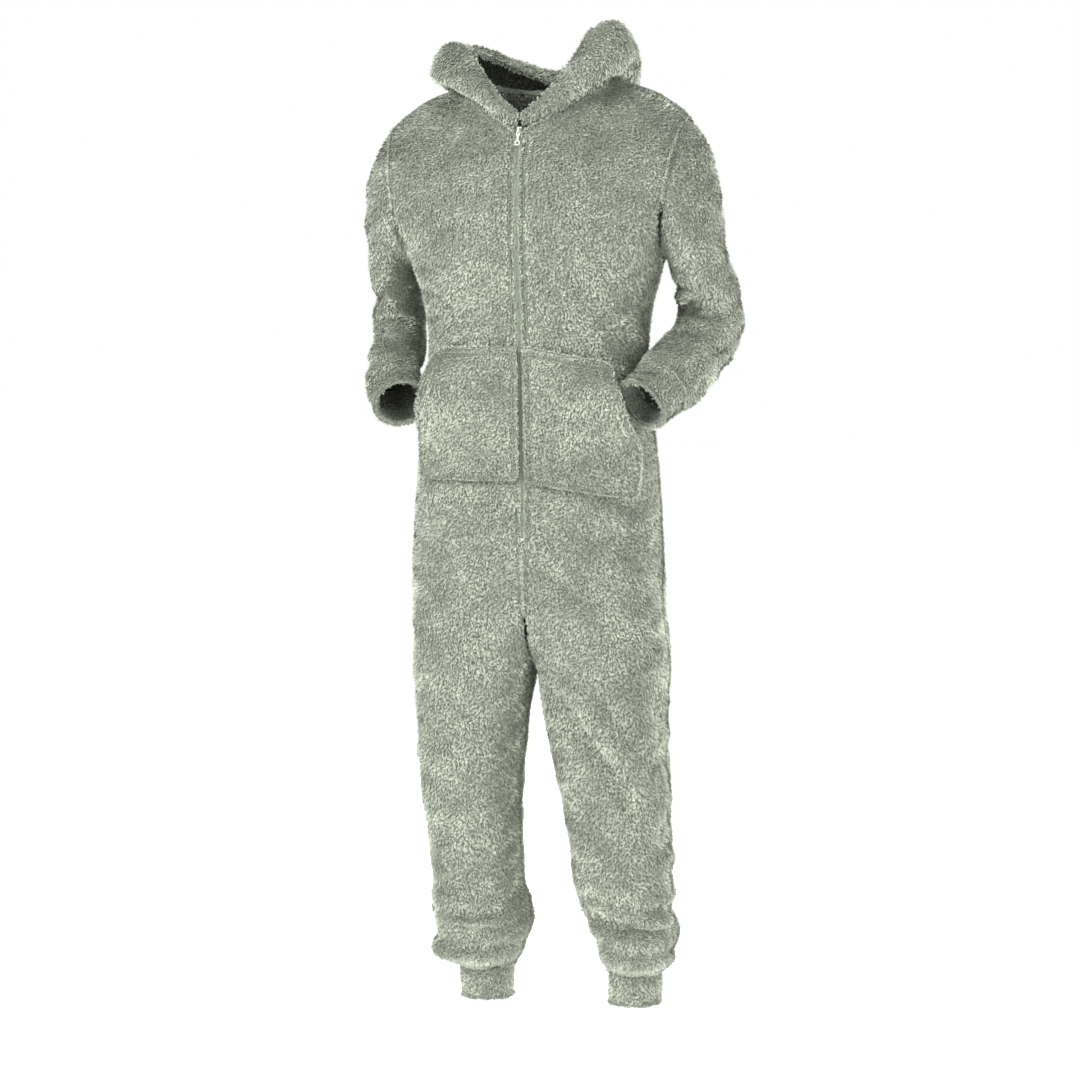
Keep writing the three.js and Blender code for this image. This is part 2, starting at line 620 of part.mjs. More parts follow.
// The solid of a sheet: its wall, with its edges eased back from the seams
function sheetGeometry(sheet) {
  const { grid, normals, closed, wall } = sheet;
  const outer = grid.map((row) => row.map((p) => p.clone()));
  const inner = grid.map((row, r) => row.map((p, c) => p.clone().addScaledVector(normals[r][c], -wall)));
  const layers = [outer, inner];
  const across = (rows) => rows[0].map((_, c) => rows.map((row) => row[c]));
  const moves = layers.map((rows) => ({
    rows: easeEdges(rows, closed, SEAM / 2),
    columns: closed ? null : easeEdges(across(rows), false, SEAM / 2),
  }));
  layers.forEach((rows, layer) => {
    const move = moves[layer];
    rows[0].forEach((p, c) => p.add(move.rows.top[c]));
    rows[rows.length - 1].forEach((p, c) => p.add(move.rows.bottom[c]));
    if (closed) return;
    rows.forEach((row, r) => {
      row[0].add(sheet.centre ? sheet.centre(r) : move.columns.top[r]);
      row[row.length - 1].add(move.columns.bottom[r]);
    });
  });
  return wallGeometry(outer, inner, closed, sheet.turn);
}

// The rows of a panel that lie along the zip stand back from the centre to let it in
function centreShift(side, face, heights) {
  const first = YOKE_ROWS;
  return (r) => {
    const z = r < first ? UNDERARM_Z + 1 : heights[r - first];
    const crotchRow = z === CROTCH_Z;
    const zipped = face === "front" && z >= ZIP_END_Z;
    const shift = new THREE.Vector3();
    if (z >= CROTCH_Z) {
      const level = r < first ? lerp(NECK_FRONT[0].z, UNDERARM_Z, r / first) : z;
      shift.addScaledVector(acrossAt(level), side.sign * (zipped ? ZIP_HALF : SEAM / 2));
    }
    if (z < CROTCH_Z || crotchRow) shift.y += face === "front" ? -SEAM / 2 : SEAM / 2;
    return shift;
  };
}

// All the sheets of one side of the garment
function sheetsOfSide(side) {
  const heights = rowHeights();
  const folds = FOLDS[side.name];
  const make = (face) => {
    const grid = panelGrid(side.name, face);
    const sign = face === "front" ? -1 : 1;
    const depth = (r, c) => {
      if (r <= YOKE_ROWS) return 0;
      return foldDepth(folds, sign * (1 - c / PANEL_COLUMNS), heights[r - YOKE_ROWS]);
    };
    const turn = face === "front" ? 1 : -1;
    const centre = centreShift(side, face, heights);
    return makeSheet(`body_${face}_${side.name}`, side, grid, { depth, turn, centre });
  };
  const front = make("front");
  const back = make("back");
  const sleeveRows = sleeveGrid(side.name, front.plain, back.plain);
  const lastRow = sleeveRows.length - 1;
  const sleeveDepth = (r, c) => {
    const ends = smoothstep(r, CAP_ROWS - 2, CAP_ROWS + 1) * (1 - smoothstep(r, lastRow - 2, lastRow));
    return ends * sleeveFoldDepth(SLEEVE_FOLDS[side.name], r, lastRow, c);
  };
  const sleeve = makeSheet(`sleeve_${side.name}`, side, sleeveRows, {
    closed: true,
    turn: -1,
    depth: sleeveDepth,
  });
  const stations = ARMS[side.name];
  const hem = sleeveRows[lastRow];
  const wrist = rings(stations.slice(-2), 1)[1];
  const cuffRows = Array.from({ length: ARM_CUFF_ROWS + 1 }, (_, r) =>
    hem.map((p, k) => p.clone().lerp(wrist[k], r / ARM_CUFF_ROWS)),
  );
  const sleeveCuff = makeSheet(`sleeve_cuff_${side.name}`, side, cuffRows, {
    closed: true,
    turn: -1,
    wall: CUFF_FLEECE,
  });
  const ankle = [...front.plain[front.plain.length - 1]];
  const ankleBack = back.plain[back.plain.length - 1].slice(1, -1).reverse();
  const loop = [...ankle, ...ankleBack];
  const legs = LEGS[side.name];
  const hemRow = legs[legs.length - 2];
  const cuffEnd = legs[legs.length - 1];
  const middle = (row) => (row.outer + row.inner) / 2;
  const narrow = (cuffEnd.outer - cuffEnd.inner) / (hemRow.outer - hemRow.inner);
  const legCuffRows = [0, 1, 2, 3].map((r) => {
    const t = r / 3;
    const size = lerp(1, narrow, t);
    return loop.map((p) => {
      const x = lerp(middle(hemRow), middle(cuffEnd), t) + (p.x - middle(hemRow)) * size;
      return new THREE.Vector3(x, p.y * size, lerp(LEG_HEM_Z, LEG_CUFF_END_Z, t));
    });
  });
  const legCuff = makeSheet(`leg_cuff_${side.name}`, side, legCuffRows, { closed: true, wall: CUFF_FLEECE });
  return { front, back, sleeve, sleeveCuff, legCuff };
}

// The hood half: its first row takes over the edge and the wall of the neckline
function hoodSheet(side, { front, back }) {
  const neckColumns = PANEL_COLUMNS / 2;
  const neck = [
    ...front.plain[0].slice(0, neckColumns + 1),
    ...back.plain[0].slice(0, neckColumns).reverse(),
  ];
  const grid = hoodGrid(side.name, neck);
  const centre = (r) => acrossAt(grid[r][0].z).multiplyScalar(side.sign * ZIP_HALF);
  return makeSheet(`hood_${side.name}`, side, grid, { turn: -1, centre });
}

// Where a point of the plain front lies on its grid, so that pieces can be laid on it
function locate(front, x, z) {
  const { plain } = front;
  let r = YOKE_ROWS;
  while (r < plain.length - 2 && plain[r + 1][0].z > z) r += 1;
  const v = clamp((plain[r][0].z - z) / (plain[r][0].z - plain[r + 1][0].z), 0, 1);
  const columnIn = (row) => {
    let c = 0;
    while (c < PANEL_COLUMNS - 1 && row[c + 1].x < x) c += 1;
    return { c, t: clamp((x - row[c].x) / (row[c + 1].x - row[c].x), 0, 1) };
  };
  const on = (line, row) => {
    const { c, t } = columnIn(plain[row]);
    return line[row][c].clone().lerp(line[row][c + 1], t);
  };
  const point = on(front.grid, r).lerp(on(front.grid, r + 1), v);
  const normal = on(front.normals, r).lerp(on(front.normals, r + 1), v).normalize();
  return { point, normal };
}

function pocketSheet(side, front) {
  const size = POCKETS[side.name];
  const grid = [];
  for (let r = 0; r <= POCKET_ROWS; r += 1) {
    const v = r / POCKET_ROWS;
    const edge = columnAt(POCKET_EDGE, "v", "x", v);
    const stand = columnAt(POCKET_EDGE, "v", "stand", v);
    const row = [];
    for (let c = 0; c <= POCKET_COLUMNS; c += 1) {
      const u = c / POCKET_COLUMNS;
      const x = lerp(ZIP_HALF + 1, edge, u);
      const z = lerp(size.top, size.bottom, v) - size.drop * u;
      const { point, normal } = locate(front, x, z);
      const held = stand * u ** 2.2;
      const lift = POCKET_FLEECE + lerp(POCKET_REST, POCKET_REST_SIDE, u * u);
      row.push(point.addScaledVector(normal, lift).add(vec({ y: -held, z: 0 })));
    }
    grid.push(row);
  }
  const name = `pocket_${side.name}`;
  return { name, side, grid, wall: POCKET_FLEECE, closed: false, turn: side.sign };
}

// Points and normals down the centre front, for the zip
function zipLine(left, right) {
  const heights = rowHeights();
  const rows = YOKE_ROWS + heights.indexOf(ZIP_END_Z) + 1;
  return Array.from({ length: rows }, (_, r) => ({
    point: left.grid[r][0].clone().add(right.grid[r][0]).multiplyScalar(0.5),
    normal: left.normals[r][0].clone(),
  }));
}

// One tape of the zip, in the channel between the fronts
function tapeGeometry(side, line) {
  const corner = (station, x, depth) => {
    const across = acrossAt(station.point.z).multiplyScalar(side.sign * x);
    return station.point.clone().add(across).addScaledVector(station.normal, depth);
  };
  const outer = line.map((s) => [corner(s, TAPE.from, TAPE.top), corner(s, TAPE.to, TAPE.top)]);
  const inner = line.map((s) => [corner(s, TAPE.from, TAPE.bottom), corner(s, TAPE.to, TAPE.bottom)]);
  return wallGeometry(outer, inner, false, side.sign);
}

function toSolid(geometry) {
  const bare = geometry.clone();
  bare.deleteAttribute("normal");
  bare.deleteAttribute("uv");
  const merged = mergeVertices(bare, 1e-4);
  const mesh = new wasm.Mesh({
    numProp: 3,
    vertProperties: Float32Array.from(merged.attributes.position.array),
    triVerts: Uint32Array.from(merged.index.array),
  });
  return new wasm.Manifold(mesh);
}

function fromSolid(solid) {
  const mesh = solid.getMesh();
  const geometry = new THREE.BufferGeometry();
  geometry.setAttribute("position", new THREE.BufferAttribute(mesh.vertProperties, 3));
  geometry.setIndex(new THREE.BufferAttribute(mesh.triVerts, 1));
  geometry.computeVertexNormals();
  return geometry;
}

// A shape drawn across and up the zip, with its thickness outwards (towards local -Y)
function standing(shape, thick, curveSegments) {
  const geometry = new THREE.ExtrudeGeometry(shape, { depth: thick, bevelEnabled: false, curveSegments });
  return geometry.rotateX(Math.PI / 2);
}

// The slider: a waisted body with a bail bridge on its face
function sliderGeometry() {
  const top = SLIDER.width / 2;
  const foot = SLIDER.foot / 2;
  const high = SLIDER.height / 2;
  const outline = new THREE.Shape();
  outline.moveTo(-foot, -high);
  outline.lineTo(foot, -high);
  outline.quadraticCurveTo(foot + 0.2, 0, top, high * 0.45);
  outline.lineTo(top, high * 0.75);
  outline.quadraticCurveTo(top, high, top * 0.45, high);
  outline.lineTo(-top * 0.45, high);
  outline.quadraticCurveTo(-top, high, -top, high * 0.75);
  outline.lineTo(-top, high * 0.45);
  outline.quadraticCurveTo(-foot - 0.2, 0, -foot, -high);
  const body = standing(outline, SLIDER.thick, 6).translate(0, -SLIDER.back, 0);
  const face = SLIDER.back + SLIDER.thick;
  const sunk = 0.4;
  const reach = face + BAIL.gap + BAIL.bar;
  const inside = BAIL.half - BAIL.bar;
  const bridge = new THREE.Shape();
  bridge.moveTo(face - sunk, -BAIL.half);
  bridge.lineTo(reach - 1, -BAIL.half);
  bridge.quadraticCurveTo(reach, -BAIL.half, reach, -BAIL.half + 1);
  bridge.lineTo(reach, BAIL.half - 1);
  bridge.quadraticCurveTo(reach, BAIL.half, reach - 1, BAIL.half);
  bridge.lineTo(face - sunk, BAIL.half);
  bridge.lineTo(face - sunk, inside);
  bridge.lineTo(face + BAIL.gap, inside);
  bridge.lineTo(face + BAIL.gap, -inside);
  bridge.lineTo(face - sunk, -inside);
  const extrusion = { depth: BAIL.width, bevelEnabled: false, curveSegments: 4 };
  const bail = new THREE.ExtrudeGeometry(bridge, extrusion);
  bail.translate(0, 0, -BAIL.width / 2);
  bail.applyMatrix4(new THREE.Matrix4().set(0, 0, -1, 0, -1, 0, 0, 0, 0, 1, 0, 0, 0, 0, 0, 1));
  return fromSolid(toSolid(body).add(toSolid(bail)));
}

// Where the tab turns, on the slider: the tab's crossbar lies in the foot of the bail
const HINGE_UP = -(BAIL.half - BAIL.bar) + 1.15;
const HINGE_OUT = SLIDER.back + SLIDER.thick + BAIL.gap / 2;

// The pull tab: a window round the bail's foot, a neck and a ring, hanging from its crossbar
function tabGeometry() {
  const half = TAB.slot / 2 + TAB.rail;
  const crossbar = TAB.thick / 2;
  const windowEnd = -TAB.window;
  const ringAt = -TAB.neck - TAB.ring;
  const neck = 1.5;
  const outline = new THREE.Shape();
  outline.moveTo(-half, crossbar);
  outline.lineTo(-half, windowEnd - 0.4);
  outline.quadraticCurveTo(-half, windowEnd - 2, -neck, windowEnd - 2.6);
  outline.lineTo(-neck, ringAt + Math.sqrt(TAB.ring ** 2 - neck ** 2));
  const from = Math.PI - Math.acos(neck / TAB.ring);
  outline.absarc(0, ringAt, TAB.ring, from, Math.PI - from + 2 * Math.PI, false);
  outline.lineTo(neck, windowEnd - 2.6);
  outline.quadraticCurveTo(half, windowEnd - 2, half, windowEnd - 0.4);
  outline.lineTo(half, crossbar);
  const window = new THREE.Path();
  window.moveTo(-TAB.slot / 2, -crossbar);
  window.lineTo(TAB.slot / 2, -crossbar);
  window.lineTo(TAB.slot / 2, windowEnd);
  window.lineTo(-TAB.slot / 2, windowEnd);
  const hole = new THREE.Path();
  hole.absarc(0, ringAt, TAB.hole, 0, 2 * Math.PI, true);
  outline.holes.push(window, hole);
  return fromSolid(toSolid(standing(outline, TAB.thick, 10).translate(0, TAB.thick / 2, 0)));
}

function stopGeometry() {
  const shape = new THREE.Shape();
  shape.moveTo(-2.4, -2.6);
  shape.lineTo(2.4, -2.6);
  shape.lineTo(2.6, 2.2);
  shape.lineTo(-2.6, 2.2);
  return standing(shape, 2.6, 4);
}

// Names, colours and roughness of what the pieces are made of
const fleece = new THREE.MeshStandardMaterial({ color: 0xa7b6a0, roughness: 0.95, metalness: 0 });
const fleeceFolded = new THREE.MeshStandardMaterial({ color: 0x9dad97, roughness: 0.95, metalness: 0 });
const tape = new THREE.MeshStandardMaterial({ color: 0x8f9c8a, roughness: 0.7, metalness: 0 });
const metal = new THREE.MeshStandardMaterial({ color: 0xc9cdc6, roughness: 0.35, metalness: 0.9 });

const garment = new THREE.Group();

function place(name, geometry, material, parent = garment) {
  const mesh = new THREE.Mesh(geometry, material);
  mesh.name = name;
  parent.add(mesh);
  return mesh;
}

const halves = SIDES.map((side) => ({ side, ...sheetsOfSide(side) }));
const sewn = halves.flatMap(({ front, back, sleeve, sleeveCuff, legCuff }) => [
  front,
  back,
  sleeve,
  sleeveCuff,
  legCuff,
]);
crease(sewn);
const hoods = halves.map((half) => hoodSheet(half.side, half));
shareNormals(hoods);
hoods.forEach((hood, i) => {
  const { front, back } = halves[i];
  const neckColumns = PANEL_COLUMNS / 2;
  const edge = [
    ...front.normals[0].slice(0, neckColumns + 1),
    ...back.normals[0].slice(0, neckColumns).reverse(),
  ];
  hood.normals[0] = edge.map((normal) => normal.clone());
});
for (const sheet of [...sewn, ...hoods]) {
  const folded = sheet.wall === CUFF_FLEECE || sheet.name.startsWith("hood");
  place(sheet.name, sheetGeometry(sheet), folded ? fleeceFolded : fleece);
}

const pockets = halves.map(({ side, front }) => pocketSheet(side, front));
shareNormals(pockets.slice(0, 1));
shareNormals(pockets.slice(1));
for (const pocket of pockets) place(pocket.name, sheetGeometry(pocket), fleece);

const zip = zipLine(halves[0].front, halves[1].front);
for (const side of SIDES) place(`zip_tape_${side.name}`, tapeGeometry(side, zip), tape);

// The slider and tab stand square to the zip at their height
function alongZip(z) {
  let i = 0;
  while (i < zip.length - 2 && zip[i + 1].point.z > z) i += 1;
  const t = (zip[i].point.z - z) / (zip[i].point.z - zip[i + 1].point.z);
  const point = zip[i].point.clone().lerp(zip[i + 1].point, t);
  const up = zip[i].point.clone().sub(zip[i + 1].point).normalize();
  const out = acrossAt(z).cross(up).normalize();
  return { point, up, out };
}

function onZip(z) {
  const { point, up, out } = alongZip(z);
  const frame = new THREE.Group();
  const across = up.clone().cross(out);
  frame.applyMatrix4(new THREE.Matrix4().makeBasis(across, out.clone().negate(), up));
  frame.position.copy(point);
  garment.add(frame);
  return frame;
}

const sliderFrame = onZip(SLIDER_Z);
place("zip_slider", sliderGeometry(), metal, sliderFrame);
const tab = place("zip_pull_tab", tabGeometry(), metal, sliderFrame);
tab.position.set(0, -HINGE_OUT, HINGE_UP);

const stop = place("zip_stop", stopGeometry(), metal, onZip(ZIP_END_Z + 0.01));
stop.position.set(0, 1, -3.2);

garment.updateMatrixWorld(true);

export default garment;
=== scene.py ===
"""Looks of a hooded one-piece pajama in deep-pile fleece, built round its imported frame."""

import math

import bmesh
import bpy
import numpy as np
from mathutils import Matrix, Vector
from mathutils.bvhtree import BVHTree
from mathutils.kdtree import KDTree


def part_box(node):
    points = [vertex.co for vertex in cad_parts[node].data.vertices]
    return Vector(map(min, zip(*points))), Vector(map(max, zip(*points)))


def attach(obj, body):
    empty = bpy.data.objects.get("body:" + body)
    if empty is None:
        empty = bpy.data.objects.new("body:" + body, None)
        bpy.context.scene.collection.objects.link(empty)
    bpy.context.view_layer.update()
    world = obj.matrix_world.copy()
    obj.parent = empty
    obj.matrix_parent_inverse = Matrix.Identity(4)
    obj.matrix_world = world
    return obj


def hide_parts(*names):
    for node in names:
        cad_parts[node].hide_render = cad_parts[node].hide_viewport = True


bl_info = {
    "name": "Fleece One-Piece",
    "version": (1, 0, 0),
    "blender": (4, 5, 0),
    "location": "3D View > Sidebar > One-Piece",
    "description": "Makes the fleece, zip and stage of a hooded one-piece pajama",
    "category": "Object",
}

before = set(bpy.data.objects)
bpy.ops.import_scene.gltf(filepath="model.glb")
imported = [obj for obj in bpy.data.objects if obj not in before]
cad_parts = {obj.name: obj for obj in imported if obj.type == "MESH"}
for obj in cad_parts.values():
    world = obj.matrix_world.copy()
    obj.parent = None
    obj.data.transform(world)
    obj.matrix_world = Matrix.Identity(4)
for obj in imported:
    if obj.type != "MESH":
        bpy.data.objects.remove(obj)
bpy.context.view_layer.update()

BACKING = 0
LINING = 1
EDGE = 2

# Middle lines that the creases are measured round: height, x and y
TORSO_LINE = [(0.1, 0.0, 0.0), (-0.9, 0.0, 0.0)]
LEG_LINES = {
    "left": [
        (-0.906, 0.108, 0),
        (-1.04, 0.118, 0),
        (-1.2, 0.137, 0),
        (-1.29, 0.145, 0),
        (-1.45, 0.159, 0),
    ],
    "right": [
        (-0.906, -0.102, 0),
        (-1.12, -0.108, 0),
        (-1.255, -0.098, 0),
        (-1.36, -0.098, 0),
        (-1.45, -0.083, 0),
    ],
}
ARM_LINES = {
    "left": [
        (-0.05, 0.22, 0.02),
        (-0.3, 0.26, 0.035),
        (-0.37, 0.265, 0.03),
        (-0.43, 0.24, -0.04),
        (-0.5, 0.19, -0.12),
    ],
    "right": [
        (-0.05, -0.22, 0.02),
        (-0.3, -0.25, 0.04),
        (-0.37, -0.245, 0.03),
        (-0.43, -0.23, -0.04),
        (-0.5, -0.19, -0.12),
    ],
}

# A crease: its angle (0 outwards, -90 front, 90 back) and height at both ends, its width and depth
# Angles are in degrees and lengths in metres, and a negative depth is a raised fold
LEG_CREASES = {
    "left": [
        (-112, -0.905, -38, -1.135, 0.016, -0.0042),
        (-96, -0.905, -34, -1.075, 0.015, 0.0034),
        (-84, -0.915, -34, -1.02, 0.013, -0.0034),
        (-150, -0.92, -102, -1.06, 0.013, -0.0032),
        (-128, -0.93, -60, -1.12, 0.014, 0.0028),
        (-96, -1.09, -38, -1.25, 0.014, -0.0032),
        (-110, -1.12, -62, -1.25, 0.014, 0.0026),
        (-165, -1.276, -50, -1.33, 0.012, 0.0048),
        (-29, -0.94, -24, -1.25, 0.007, 0.0024),
        (-24, -0.945, 12, -0.965, 0.012, -0.003),
        (-24, -1.0, 12, -1.015, 0.012, -0.003),
        (-24, -1.1, 14, -1.12, 0.012, -0.003),
        (-22, -1.14, 14, -1.155, 0.010, 0.003),
        (-22, -1.2, 14, -1.215, 0.012, -0.003),
        (-150, -1.262, -20, -1.292, 0.011, 0.006),
        (-120, -1.279, 30, -1.268, 0.009, -0.003),
        (-130, -1.305, -40, -1.318, 0.009, 0.005),
        (-60, -1.322, 30, -1.306, 0.010, 0.005),
        (-160, -1.336, -95, -1.349, 0.009, 0.004),
        (-70, -1.352, 20, -1.362, 0.009, 0.005),
        (20, -1.286, 110, -1.306, 0.011, 0.006),
        (60, -1.324, 170, -1.310, 0.010, 0.005),
        (80, -1.352, 175, -1.345, 0.009, 0.004),
        (-110, -0.985, -60, -1.105, 0.012, 0.004),
        (-95, -1.115, -55, -1.2, 0.012, 0.003),
        (-35, -0.955, -5, -1.0, 0.010, 0.004),
        (-30, -1.035, 5, -1.07, 0.010, 0.004),
        (-35, -1.165, 0, -1.195, 0.010, 0.004),
        (60, -1.02, 120, -1.09, 0.013, 0.004),
        (50, -1.16, 110, -1.21, 0.013, 0.004),
        (-10, -1.228, 60, -1.244, 0.012, 0.004),
    ],
    "right": [
        (-60, -1.343, -165, -1.303, 0.010, 0.0045),
        (-122, -1.095, -66, -1.122, 0.016, 0.0026),
        (-110, -1.0, -70, -0.93, 0.016, 0.0022),
        (-150, -1.04, -95, -0.96, 0.014, 0.0022),
        (-50, -1.15, -30, -1.02, 0.016, -0.0024),
        (-150, -1.272, -60, -1.262, 0.010, 0.004),
        (-160, -1.290, -30, -1.303, 0.010, 0.005),
        (-120, -1.322, -20, -1.314, 0.009, 0.004),
        (-150, -1.348, -70, -1.358, 0.009, 0.005),
        (-50, -1.345, 30, -1.352, 0.009, 0.004),
        (-25, -1.290, 60, -1.306, 0.010, 0.005),
        (40, -1.330, 150, -1.318, 0.010, 0.005),
        (90, -1.284, 175, -1.300, 0.010, 0.005),
        (70, -1.356, 170, -1.350, 0.009, 0.004),
        (-120, -1.19, -70, -1.235, 0.012, 0.004),
        (-30, -0.93, 5, -0.97, 0.010, 0.003),
        (-35, -1.06, 0, -1.09, 0.010, 0.003),
        (-30, -1.16, 5, -1.19, 0.010, 0.003),
        (60, -1.03, 120, -1.1, 0.013, 0.004),
        (50, -1.17, 110, -1.22, 0.013, 0.004),
    ],
}
TORSO_CREASES = {
    "left": [
        (-62, -0.285, -30, -0.33, 0.011, 0.004),
        (-55, -0.31, -25, -0.375, 0.011, 0.004),
        (-40, -0.63, -12, -0.66, 0.012, 0.003),
        (-38, -0.70, -8, -0.685, 0.012, 0.003),
        (-75, -0.735, -40, -0.80, 0.013, 0.004),
        (55, -0.29, 25, -0.345, 0.011, 0.004),
        (62, -0.36, 20, -0.385, 0.012, 0.004),
        (70, -0.43, 25, -0.415, 0.012, 0.004),
        (75, -0.47, 35, -0.485, 0.012, 0.003),
        (60, -0.72, 25, -0.75, 0.014, 0.004),
        (80, -0.79, 50, -0.86, 0.014, 0.004),
    ],
    "right": [
        (-60, -0.28, -28, -0.335, 0.011, 0.004),
        (-50, -0.34, -22, -0.385, 0.011, 0.003),
        (-42, -0.64, -14, -0.655, 0.012, 0.003),
        (-75, -0.75, -42, -0.82, 0.013, 0.003),
        (58, -0.29, 26, -0.34, 0.011, 0.004),
        (66, -0.37, 22, -0.375, 0.012, 0.004),
        (72, -0.42, 30, -0.44, 0.012, 0.004),
        (74, -0.5, 36, -0.485, 0.012, 0.003),
        (60, -0.71, 24, -0.74, 0.014, 0.004),
        (82, -0.8, 48, -0.85, 0.014, 0.004),
    ],
}
ARM_CREASES = {
    "left": [
        (-150, -0.30, -40, -0.325, 0.010, 0.005),
        (-160, -0.335, -30, -0.345, 0.009, 0.005),
        (-140, -0.36, -60, -0.372, 0.009, 0.004),
        (-60, -0.395, 40, -0.41, 0.009, 0.005),
        (-20, -0.425, 90, -0.436, 0.009, 0.005),
        (60, -0.445, 160, -0.44, 0.009, 0.004),
        (-130, -0.42, -70, -0.432, 0.009, 0.004),
        (-80, -0.19, -40, -0.235, 0.011, 0.003),
        (60, -0.2, 110, -0.24, 0.011, 0.003),
    ],
    "right": [
        (-150, -0.305, -40, -0.325, 0.010, 0.005),
        (-170, -0.34, -50, -0.35, 0.009, 0.005),
        (-130, -0.365, -50, -0.378, 0.009, 0.005),
        (-40, -0.392, 50, -0.405, 0.009, 0.005),
        (-30, -0.422, 80, -0.432, 0.009, 0.005),
        (70, -0.44, 165, -0.436, 0.009, 0.004),
        (-120, -0.415, -60, -0.43, 0.009, 0.004),
        (-75, -0.2, -35, -0.24, 0.011, 0.003),
        (55, -0.2, 105, -0.245, 0.011, 0.003),
    ],
}

# What each cloth piece was cut to (width, length, area), and a point on its inner side
CUTS = {
    "body_front": ((0.30, 1.45, 0.385), (0.1, 0.0, -0.7)),
    "body_back": ((0.31, 1.45, 0.40), (0.1, 0.0, -0.7)),
    "sleeve": ((0.42, 0.50, 0.165), None),
    "sleeve_cuff": ((0.29, 0.045, 0.0122), None),
    "leg_cuff": ((0.30, 0.055, 0.0155), None),
    "hood": ((0.42, 0.34, 0.1), (0.0, 0.03, -0.01)),
    "pocket": ((0.18, 0.215, 0.035), (0.06, 0.0, -0.5)),
}

# Rows of stitches: the part of the rim that each one follows, and its distance from it
HEMS = {
    "body_front": (("zip", 0.0085),),
    "pocket": (("top", 0.0105), ("mouth", 0.021), ("zip", 0.011)),
}

# Heights between which the creases of each part fade in and out
TORSO_RANGE = (-0.9, -0.25)
LEG_RANGE = (-1.386, -0.91)
ARM_RANGE = (-0.47, -0.16)
CREASE_FADE = 0.02

# Seams: how far in the cloth is thin, where the dip beside a seam lies, its width and its depth
SEAM_REACH = 0.008
DIP_AT = 0.0058
DIP_WIDTH = 0.0026
DIP_DEPTH = 0.0012
FAR_FROM_SEAM = 0.05

# Rows of stitches: how deep and wide they sink, and the thread that lies in them
ROW_DEPTH = 0.0026
ROW_WIDTH = 0.0034
THREAD_WIDTH = 0.0011
STITCH_SHARE = 0.72
# Painted shade in a groove of stitches: its width; painted light on the banks beside it: where they lie
# and their width
GROOVE_WIDTH = 0.0026
BANK_AT = 0.006
BANK_WIDTH = 0.0024

# Locks along a rim, the reach at which one piece covers another, and where the inside is in sight
RIM_STEP = 0.0012
RIM_BAND = 0.0018
COVER_REACH = 0.012
LINING_SPACING = 1.15
NECK_HALF_WIDTH = 0.17
NECK_BOTTOM = -0.17
CUFF_REACH = 0.11

# Walls: subdivision levels, how much deeper than the wall an edge face is, and the turn at an edge
ROUNDING = 2
EDGE_RATIO = 1.8
SHARP_TURN = math.radians(80)

# Heights at which the zip's coil starts and ends, and the size of one of its turns
COIL_TOP = -0.072
COIL_END = -0.688
COIL_STEPS = 160
TURN_LENGTH = 0.0023
TURN_WIDTH = 0.0013
TURN_SHIFT = 0.00075
TURN_SINK = 0.0001

# The body turns towards the top: how far, from which height, over which rise, at which depth
BODY_TURN = math.radians(-5)
TURN_FROM = -0.62
TURN_RISE = 0.49
TURN_RADIUS = 0.11

# Stage: height of the floor and its half size, the point aimed at, and each light
FLOOR_HEIGHT = -1.528
FLOOR_HALF = 30
AIM = (0, 0, -0.704)
LIGHTS = (
    ("key", (-2.6, -3.0, 1.8), (0, 0, -0.6), 1.0, 150),
    ("fill", (2.8, -2.4, 0.6), (0, 0, -0.7), 2.0, 36),
    ("back", (2.6, 1.6, 0.8), (0, 0, -0.7), 1.6, 95),
    ("rim", (-2.6, 1.6, 0.4), (0, 0, -0.7), 1.6, 75),
)


def colour(name, description, value):
    return bpy.props.FloatVectorProperty(
        name=name, description=description, subtype="COLOR", size=3, min=0, max=1, default=value
    )


def metres(name, description, value, least, most):
    return bpy.props.FloatProperty(
        name=name, description=description, default=value, min=least, max=most, unit="LENGTH"
    )


class FleeceSettings(bpy.types.PropertyGroup):
    """Colours and sizes of the fleece and its sewing"""

    tip: colour("Tips", "Colour of the tips of the pile", (0.60, 0.64, 0.535))
    # Painted shade: the colour at the base of each lock, darker than the tips, stands for the shade
    # between the locks
    root: colour("Roots", "Colour between the locks of the pile", (0.16, 0.18, 0.13))
    # The backing is the knit's own colour darkened as painted shade under the pile
    backing: colour("Backing", "Colour of the knitted back of the cloth", (0.31, 0.335, 0.27))
    spacing: metres("Lock spacing", "Distance between two locks of the pile", 0.0029, 0.002, 0.02)
    length: metres("Lock length", "Length of a lock of the pile", 0.0060, 0.002, 0.03)
    width: metres("Lock width", "Width of a lock of the pile", 0.0026, 0.001, 0.02)
    pile: metres("Pile height", "Depth of the pile over the knitted backing", 0.003, 0.0005, 0.01)
    sheen: bpy.props.FloatProperty(
        name="Sheen",
        description="Strength of the pale edge that the nap shows",
        default=0.7,
        min=0,
        max=1,
    )
    folds: bpy.props.FloatProperty(
        name="Folds",
        description="How deep the creases are pressed, against their listed depths",
        default=2.1,
        min=0,
        max=3,
    )
    stitch: metres("Stitch length", "Length of one stitch of the hems with its gap", 0.0042, 0.002, 0.01)
    thread: colour("Thread", "Colour of the sewing thread", (0.50, 0.56, 0.43))


class ZipSettings(bpy.types.PropertyGroup):
    """Colour and size of the coil of the zip"""

    coil: colour("Coil", "Colour of the nylon coil", (0.30, 0.34, 0.26))
    pitch: metres("Coil pitch", "Distance between two turns of the coil", 0.0015, 0.0008, 0.005)


